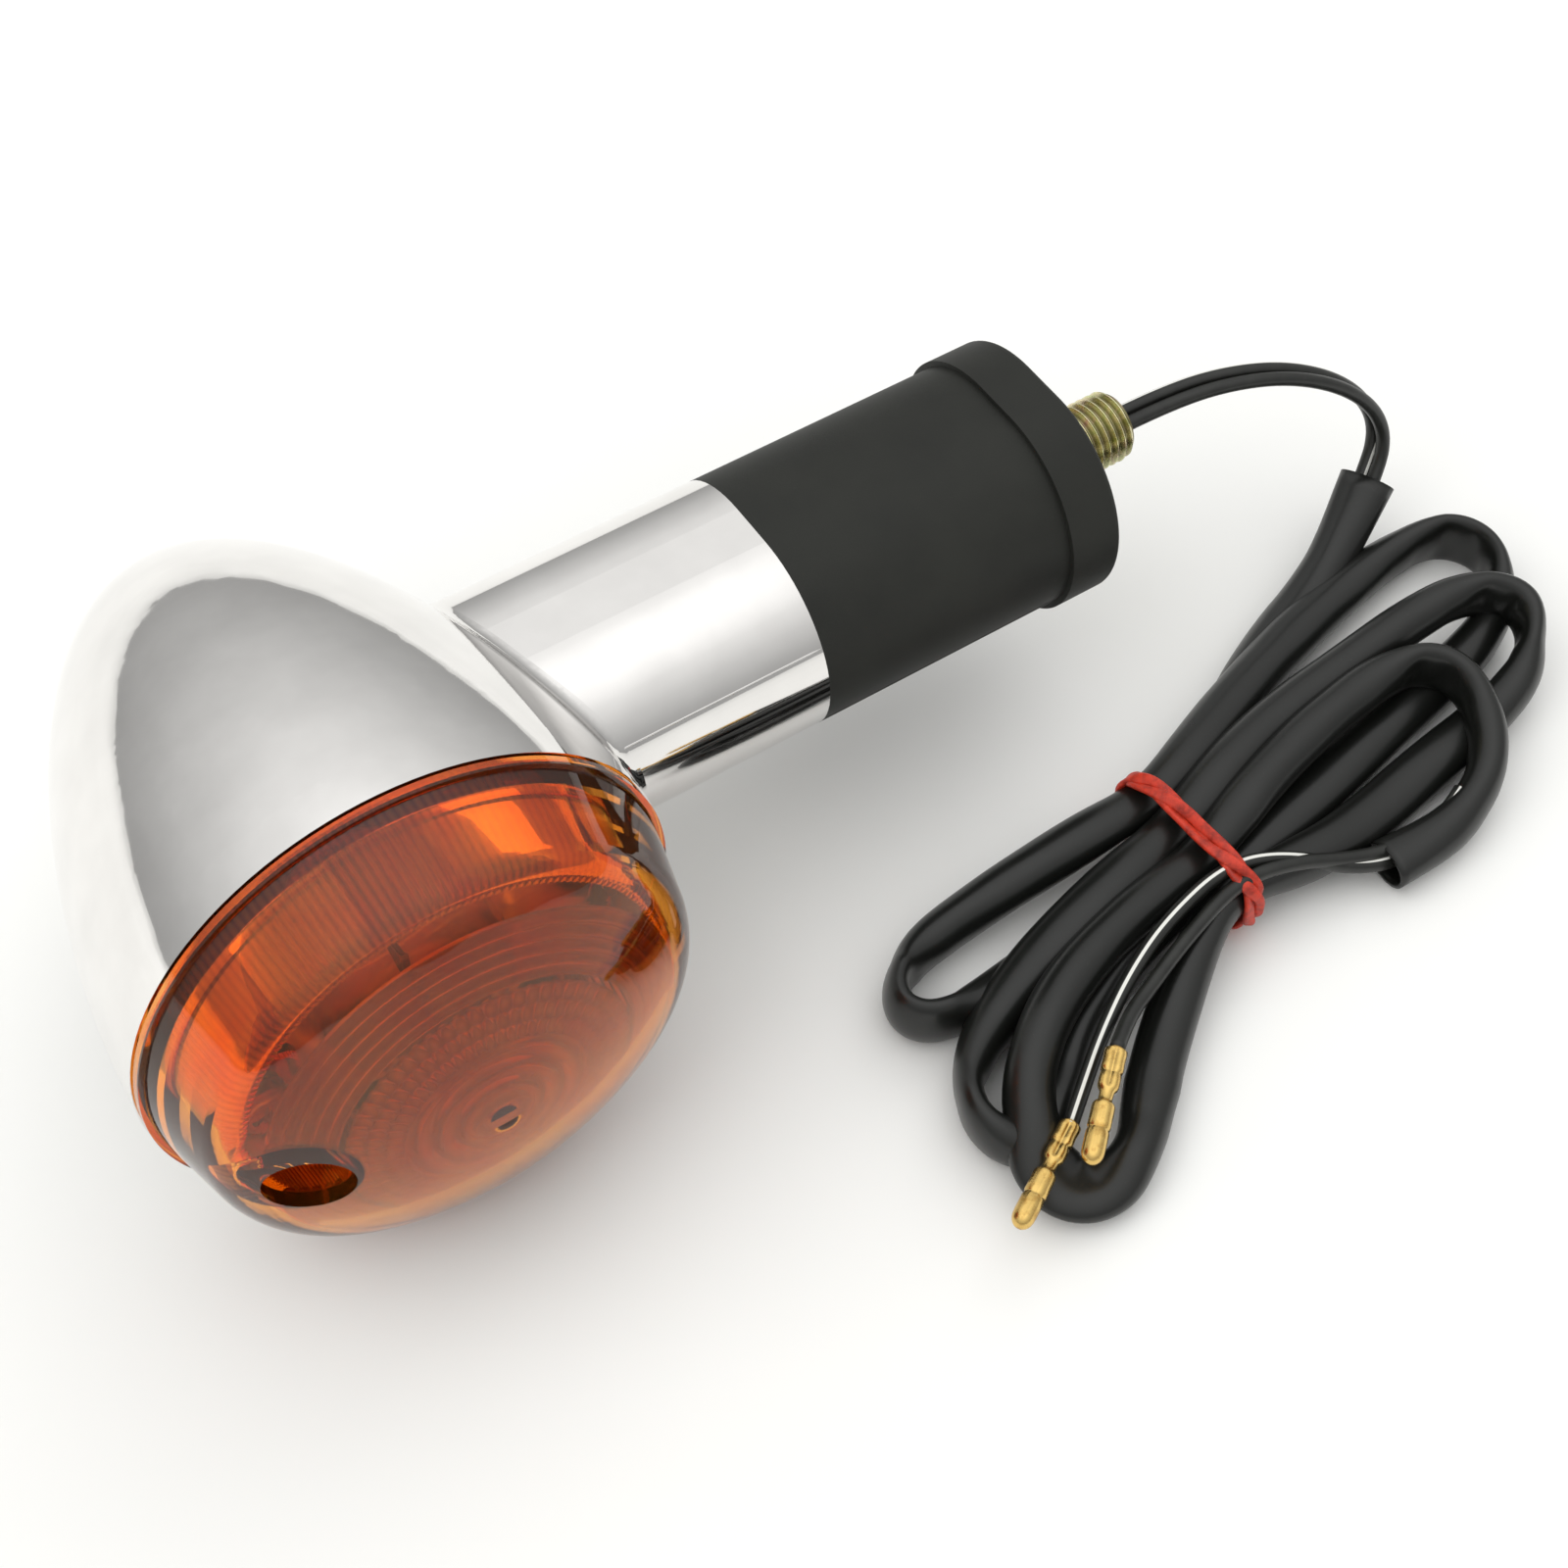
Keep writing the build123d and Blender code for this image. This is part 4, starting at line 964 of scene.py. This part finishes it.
class TURNSIGNAL_OT_lens_optics(bpy.types.Operator):
    """Add the relief inside the lens: flutes on the side wall, steps, pillow rings and the bull's-eye."""

    bl_idname = "turnsignal.lens_optics"
    bl_label = "Lens Optics"

    def execute(self, context):
        details = context.scene.turn_signal_details
        acrylic = amber_optics()
        self.flutes(details, acrylic)
        self.steps(acrylic)
        self.front(details, acrylic)
        return {"FINISHED"}

    def flutes(self, details, acrylic):
        """Ring inside the side wall: its inner face stands in by a rounded wave, one for each flute."""
        columns = details.flute_count * 5
        angle = round_angles(columns)
        back = np.array([2.3, 2.0, -1.6, -4.5, -7.0, -9.2, -10.6, -11.3, -11.6]) * MM
        outer = np.array([29.5, 29.5, 29.45, 29.1, 28.7, 28.35, 28.05, 27.3, 26.7]) * MM
        wave = np.abs(np.cos(details.flute_count / 2 * angle)) ** 1.3
        rise = np.array([0.0, 1.0, 1.0, 1.0, 1.0, 1.0, 1.0, 1.0, 0.3])
        inner = outer - 0.35 * MM
        inner_rows = inner[:, None] - details.flute_height * rise[:, None] * wave[None, :]
        ridge = np.array([0.0, 0.0, 0.0, 0.0, 0.0, 0.0, 0.35, 0.8, 0.5]) * MM
        inner_rows = inner_rows - ridge[:, None]
        outer_rows = np.broadcast_to(outer[:, None], inner_rows.shape)
        rings = np.concatenate([
            lamp_points(outer_rows, angle[None, :], back[:, None]),
            lamp_points(inner_rows, angle[None, :], back[:, None])[::-1],
        ])
        # Darker at each flute's crest, where the acrylic is thickest; these dark and light lines are also
        # painted shade standing in for the flutes' refraction.
        deep = np.broadcast_to(wave[None, :] ** 3, inner_rows.shape)
        ring = mesh_object(
            "lens_flutes", rings, grid_faces(len(rings), columns, wrap_rows=True)[:, ::-1], acrylic,
            attributes={"thickness_and_painted_shade": np.concatenate([deep, deep[::-1]])},
        )
        place_piece(ring, "lens_cover")

    def steps(self, acrylic):
        """Stepped rings between the pillows and the corner, ending on either side of the screw's boss.

        A point's angle runs from one side of the boss to the other. Its height is a saw-tooth of the radius.
        """
        radius = np.repeat(np.array([18.2, 19.6, 21.0, 22.4, 23.8, 25.2]), 3)[:-2] * MM
        radius[1::3] = radius[1::3] + 0.15 * MM
        radius[2::3] = radius[2::3] + 0.9 * MM
        height = np.tile([0.15, 0.75, 0.6], 6)[:len(radius)] * MM
        opening = np.arccos(
            (radius**2 + WELL_OFFSET**2 - (WELL_BOSS_RADIUS + BOSS_GAP) ** 2) / (2 * radius * WELL_OFFSET)
        )
        columns = 180
        share = np.linspace(-1, 1, columns)
        angle = share[None, :] * (np.pi - opening[:, None])
        front = inner_dome(radius) + OPTICS_GAP
        near = lamp_points(radius[:, None], angle, front[:, None])
        far = lamp_points(radius[:, None], angle, (front + height)[:, None])
        rings = np.concatenate([near, far[::-1]])
        faces = grid_faces(len(rings), columns, wrap_rows=True, wrap_columns=False)
        rows = len(radius)
        closing = []
        for column in (0, columns - 1):
            first = np.arange(rows - 1) * columns + column
            last = (2 * rows - 1 - np.arange(rows - 1)) * columns + column
            quad = np.stack([first, first + columns, last - columns, last], axis=-1)
            closing.append(quad if column == 0 else quad[:, ::-1])
        faces = np.concatenate([faces] + closing)
        deep = np.repeat((height / height.max() * 0.8)[:, None], columns, axis=1)
        ring = mesh_object(
            "lens_steps", rings, faces[:, ::-1], acrylic,
            attributes={"thickness_and_painted_shade": np.concatenate([deep, deep[::-1]])},
        )
        place_piece(ring, "lens_cover")

    def front(self, details, acrylic):
        """Disc with three rings of pillows, then smooth rings and the bull's-eye.

        The height over the disc is a product of two rounded waves in the pillow rings, a run of round-topped
        rings inside them, and a cap of a sphere in the middle. The rim draws in beside the screw's boss.
        """
        columns = details.pillow_count * 8
        angle = round_angles(columns)
        disc_radius = 17.5
        smooth_radius = np.linspace(0.05, 11.2, 34)
        pillow_edges = np.array([11.3, 13.4, 15.4, 17.4])
        pillow_radius = np.concatenate([
            np.linspace(a, b, 6)[:-1] for a, b in zip(pillow_edges[:-1], pillow_edges[1:])
        ] + [[pillow_edges[-1], disc_radius]])
        radius_mm = np.concatenate([smooth_radius, pillow_radius])
        grid_radius = np.repeat(radius_mm[:, None] * MM, columns, axis=1)

        # The rim: the way out to the boss at each angle, from the side on which the screw is.
        rim = disc_radius * MM
        from_screw = np.abs(angle - np.pi)
        reach = (WELL_BOSS_RADIUS + BOSS_GAP) ** 2 - (WELL_OFFSET * np.sin(from_screw)) ** 2
        to_boss = WELL_OFFSET * np.cos(from_screw) - np.sqrt(np.maximum(reach, 0))
        limit = np.minimum(np.where((reach > 0) & (from_screw < 1), to_boss, 1.0), rim)
        inside = 15.0 * MM
        share = np.clip((grid_radius - inside) / (rim - inside), 0, 1)
        grid_radius = np.where(grid_radius > inside, inside + share * (limit[None, :] - inside), grid_radius)

        # The relief's height over the disc.
        disc_thickness = 0.18 * MM
        bull_radius = 3.9
        bull_height = 0.9 * MM
        ring_index = np.clip(np.searchsorted(pillow_edges, radius_mm, side="right") - 1, 0, 2)
        low = pillow_edges[ring_index]
        wide = pillow_edges[ring_index + 1] - low
        radial_wave = np.sin(np.pi * np.clip((radius_mm - low) / wide, 0, 1)) ** 0.5
        in_pillows = (radius_mm > smooth_radius[-1]).astype(float)
        around = np.abs(np.sin(details.pillow_count / 2 * angle[None, :] + 0.8 * ring_index[:, None])) ** 0.6
        pillow_share = (in_pillows * radial_wave)[:, None] * around
        rings_wave = 0.5 * MM * np.abs(np.sin(np.pi * radius_mm / 2.6)) ** 0.7
        bull = bull_height * np.sqrt(np.clip(1 - (radius_mm / bull_radius) ** 2, 0, 1))
        middle = np.where(radius_mm < bull_radius, bull, rings_wave) * (1 - in_pillows)
        height = disc_thickness + details.pillow_height * pillow_share + middle[:, None]
        front = inner_dome(grid_radius) + OPTICS_GAP
        near = lamp_points(grid_radius, angle[None, :], front)
        far = lamp_points(grid_radius, angle[None, :], front + height)
        rings = np.concatenate([near, far[::-1]])

        # A middle point and a fan of triangles close each side.
        tops = OPTICS_GAP + np.array([0.0, disc_thickness + bull_height])
        middles = lamp_points(np.zeros(2), np.zeros(2), inner_dome(np.zeros(2)) + tops)
        count = len(rings) * columns
        column = np.arange(columns)
        following = (column + 1) % columns
        last = count - columns
        fan_near = np.stack([column, following, np.full(columns, count)], axis=-1)
        fan_far = np.stack([last + following, last + column, np.full(columns, count + 1)], axis=-1)
        faces = [*grid_faces(len(rings), columns)[:, ::-1], *fan_near, *fan_far]

        # Painted shade: darker in the valleys between the pillows and between the smooth rings, lighter on
        # their tops, opposite to the acrylic's thickness.
        ring_share = (rings_wave / rings_wave.max() * (1 - in_pillows))[:, None]
        deep = 0.75 * (1 - np.clip(pillow_share + ring_share, 0, 1) ** 2)
        middle_depth = 0.2
        disc = mesh_object(
            "lens_front_optics", np.concatenate([rings.reshape(-1, 3), middles]), faces, acrylic,
            attributes={"thickness_and_painted_shade": np.concatenate([deep.ravel(), deep[::-1].ravel(), [middle_depth] * 2])},
        )
        place_piece(disc, "lens_cover")


class TURNSIGNAL_OT_stud(bpy.types.Operator):
    """Add the hollow stud with its helical thread.

    Round the free end, the radius is the crest's less the thread's depth times a trapezoid wave of the distance
    along the axis less one pitch a turn. The head, the shoulder and the bore close the shape.
    """

    bl_idname = "turnsignal.stud"
    bl_label = "Threaded Stud"

    def execute(self, context):
        details = context.scene.turn_signal_details
        finishes = context.scene.turn_signal_finishes
        record = frame["record"]
        crest = next(m["dims"]["r_mm"] for m in record["mounts"] if m["name"] == "mounting_stud") * MM
        columns = 96
        angle = round_angles(columns)
        plate_x = BOOT_END_X - PLATE_THICKNESS
        head_x = plate_x - STUD_HEAD_THICKNESS
        head_radius = (stud_high.z - stud_low.z) / 2
        shoulder_x = BOOT_END_X - 0.05 * MM
        foot_x = np.array([head_x, head_x, plate_x, plate_x, shoulder_x, shoulder_x])
        foot_radius = np.array([STUD_BORE, head_radius, head_radius, STUD_SHOULDER, STUD_SHOULDER, crest])
        steps_per_turn = 14
        steps = steps_per_turn * int(round((STUD_TIP_X - BOOT_END_X) / details.thread_pitch))
        thread_x = np.linspace(BOOT_END_X, STUD_TIP_X - 0.02 * MM, steps)
        phase = (thread_x[:, None] / details.thread_pitch - angle[None, :] / (2 * np.pi)) % 1.0
        wave = np.clip((0.5 - np.abs(phase - 0.5)) / 0.5 * 1.45 - 0.12, 0, 1)
        run_out = np.clip((thread_x - BOOT_END_X - 0.6 * MM) / (1.2 * MM), 0, 1)
        chamfer_length = 0.9 * MM
        chamfer = np.clip((thread_x - (STUD_TIP_X - chamfer_length)) / chamfer_length, 0, 1) * 0.8 * MM
        groove = wave * run_out[:, None]
        thread_radius = np.minimum(crest - details.thread_depth * groove, (crest - chamfer)[:, None])
        foot = np.repeat(foot_radius[:, None], columns, axis=1)
        mouth_chamfer = 0.35 * MM
        bore_x = np.array([STUD_TIP_X, STUD_TIP_X - mouth_chamfer])
        bore = np.array([STUD_BORE + mouth_chamfer, STUD_BORE])
        radius = np.concatenate([foot, thread_radius, np.repeat(bore[:, None], columns, axis=1)])
        along = np.concatenate([foot_x, thread_x, bore_x])
        # Depth of each groove, which the zinc's finish turns into painted shade.
        grooves = np.concatenate([np.zeros_like(foot), groove * 0.75, np.zeros((2, columns))])
        rings = np.stack([
            np.broadcast_to(along[:, None], radius.shape),
            STEM_Y + radius * np.cos(angle)[None, :],
            AXIS_Z + radius * np.sin(angle)[None, :],
        ], axis=-1)
        faces = grid_faces(len(rings), columns, wrap_rows=True)
        stud = mesh_object(
            "threaded_stud", rings, faces, yellow_zinc(finishes.zinc), attributes={"groove": grooves}
        )
        place_piece(stud, "lamp", ["mounting_stud"])
        return {"FINISHED"}


class TURNSIGNAL_OT_parting_lines(bpy.types.Operator):
    """Add the fine parting lines left by the moulds along the stem and the boot.

    Each line is a flattened round bead carried along X, drawn in to a pinhole at both ends.
    """

    bl_idname = "turnsignal.parting_lines"
    bl_label = "Parting Lines"

    def execute(self, context):
        chrome = bpy.data.materials[CHROME_NAME]
        rubber = bpy.data.materials[BOOT_RUBBER_NAME]
        stem_half_z = 14.75 * MM
        flat_half_y = 3.25 * MM
        rows, columns = 60, 10
        bead_radius = 0.09 * MM
        for name, start, end, degrees, material, slot in (
            ("stem_parting_line", AXIS_X + 30 * MM, STEM_JOINT_X - 0.05 * MM, 150.0, chrome, "chrome"),
            ("boot_parting_line", STEM_JOINT_X + 0.1 * MM, BOOT_END_X - 8 * MM, 205.0, rubber, "boot_rubber"),
        ):
            lean = math.radians(degrees)
            y = STEM_Y + math.copysign(flat_half_y, math.cos(lean)) + stem_half_z * math.cos(lean)
            z = AXIS_Z + stem_half_z * math.sin(lean)
            outward = np.array([0.0, math.cos(lean), math.sin(lean)])
            sideways = np.array([0.0, -math.sin(lean), math.cos(lean)])
            share = np.linspace(0, 1, rows)
            size = bead_radius * np.clip(np.minimum(share, 1 - share) / 0.04, PINHOLE, 1)
            angle = round_angles(columns)
            rings = (
                np.array([0.0, y, z])
                + (start + (end - start) * share)[:, None, None] * np.array([1.0, 0.0, 0.0])
                + (size[:, None] * np.cos(angle))[..., None] * outward * 0.6
                + (size[:, None] * np.sin(angle))[..., None] * sideways * 1.4
            )
            bead = mesh_object(name, rings, grid_faces(rows, columns), material)
            place_piece(bead, "lamp")
        return {"FINISHED"}


class TURNSIGNAL_OT_finishes(bpy.types.Operator):
    """Give every carried-over CAD node the finish of its real material."""

    bl_idname = "turnsignal.finishes"
    bl_label = "Finishes"

    def execute(self, context):
        colours = context.scene.turn_signal_finishes
        zinc = plain_metal("bright zinc on steel", "A9ACAD", "C6C8C8", 0.8, 0.22, 0.38)
        brass = pressed_brass(colours.brass)
        nitrile = moulded_rubber("nitrile rubber", "17181A", "26272A", 0.3, 0.45, 0.6)
        glass = blown_glass()
        board = phenolic()
        finishes = {
            "housing": chrome_plating(colours.chrome),
            "lens": amber_acrylic(colours.amber),
            "lens_screw": zinc,
            "screw_seal": nitrile,
            "lens_gasket": nitrile,
            "reflector": plain_metal("metallised reflector", "C9CBCC", "E2E3E3", 6.0, 0.08, 0.18, 0.03),
            "bulb_socket": zinc,
            "socket_bracket": zinc,
            "bracket_screws": zinc,
            "bracket_washer": zinc,
            "ground_terminal": brass,
            "contact_plunger": board,
            "plunger_contact": brass,
            "contact_spring": plain_metal("drawn spring steel", "8A8D90", "B4B6B8", 0.3, 0.2, 0.35),
            "bulb_glass": glass,
            "bulb_stem": glass,
            "bulb_filament": plain_metal("drawn tungsten", "4A4B4E", "6E7074", 0.15, 0.3, 0.5),
            "bulb_base": brass,
            "bulb_pins": brass,
            "bulb_insulator": board,
            "bulb_button": plain_metal("tin-lead solder", "9A9DA0", "C2C4C6", 0.6, 0.25, 0.45),
            "rubber_boot": moulded_rubber(BOOT_RUBBER_NAME, colours.rubber, "292A26", 0.22, 0.52, 0.68),
            "core_plate": plain_metal("yellow zinc on plate", "A08C4A", "CDBB7E", 1.5, 0.25, 0.4),
            "wire_grommet": nitrile,
            "feed_wire": wire_vinyl("black vinyl inside the stem", False),
            "ground_wire": wire_vinyl("vinyl inside the stem", False),
        }
        for name, material in finishes.items():
            node = frame["nodes"][name]
            if node.material_slots:
                for slot in node.material_slots:
                    slot.material = material
            else:
                node.data.materials.append(material)
        return {"FINISHED"}


class TURNSIGNAL_PT_panel(bpy.types.Panel):
    """Lists the steps that build the lamp's looks."""

    bl_idname = "TURNSIGNAL_PT_panel"
    bl_label = "Turn Signal"
    bl_space_type = "VIEW_3D"
    bl_region_type = "UI"
    bl_category = "Turn Signal"

    def draw(self, context):
        for operator in OPERATORS:
            self.layout.operator(operator.bl_idname)
        for group in (context.scene.turn_signal_details, context.scene.turn_signal_finishes):
            for name in group.__annotations__:
                self.layout.prop(group, name)


GROUPS = (TurnSignalDetails, TurnSignalFinishes)
OPERATORS = (
    TURNSIGNAL_OT_stage,
    TURNSIGNAL_OT_lead_wires,
    TURNSIGNAL_OT_sleeve,
    TURNSIGNAL_OT_free_ends,
    TURNSIGNAL_OT_rubber_band,
    TURNSIGNAL_OT_finishes,
    TURNSIGNAL_OT_lens_optics,
    TURNSIGNAL_OT_stud,
    TURNSIGNAL_OT_parting_lines,
)


def register():
    """Registers the settings, the operators and the panel."""
    for group in GROUPS + OPERATORS + (TURNSIGNAL_PT_panel,):
        bpy.utils.register_class(group)
    bpy.types.Scene.turn_signal_details = bpy.props.PointerProperty(type=TurnSignalDetails)
    bpy.types.Scene.turn_signal_finishes = bpy.props.PointerProperty(type=TurnSignalFinishes)


def unregister():
    """Takes the settings, the operators and the panel away again."""
    del bpy.types.Scene.turn_signal_finishes
    del bpy.types.Scene.turn_signal_details
    for group in reversed(GROUPS + OPERATORS + (TURNSIGNAL_PT_panel,)):
        bpy.utils.unregister_class(group)


def main():
    """Builds every piece in order."""
    register()
    bpy.ops.turnsignal.stage()
    bpy.ops.turnsignal.lead_wires()
    bpy.ops.turnsignal.sleeve()
    bpy.ops.turnsignal.free_ends()
    bpy.ops.turnsignal.rubber_band()
    bpy.ops.turnsignal.finishes()
    bpy.ops.turnsignal.lens_optics()
    bpy.ops.turnsignal.stud()
    bpy.ops.turnsignal.parting_lines()


if __name__ == "__main__":
    main()
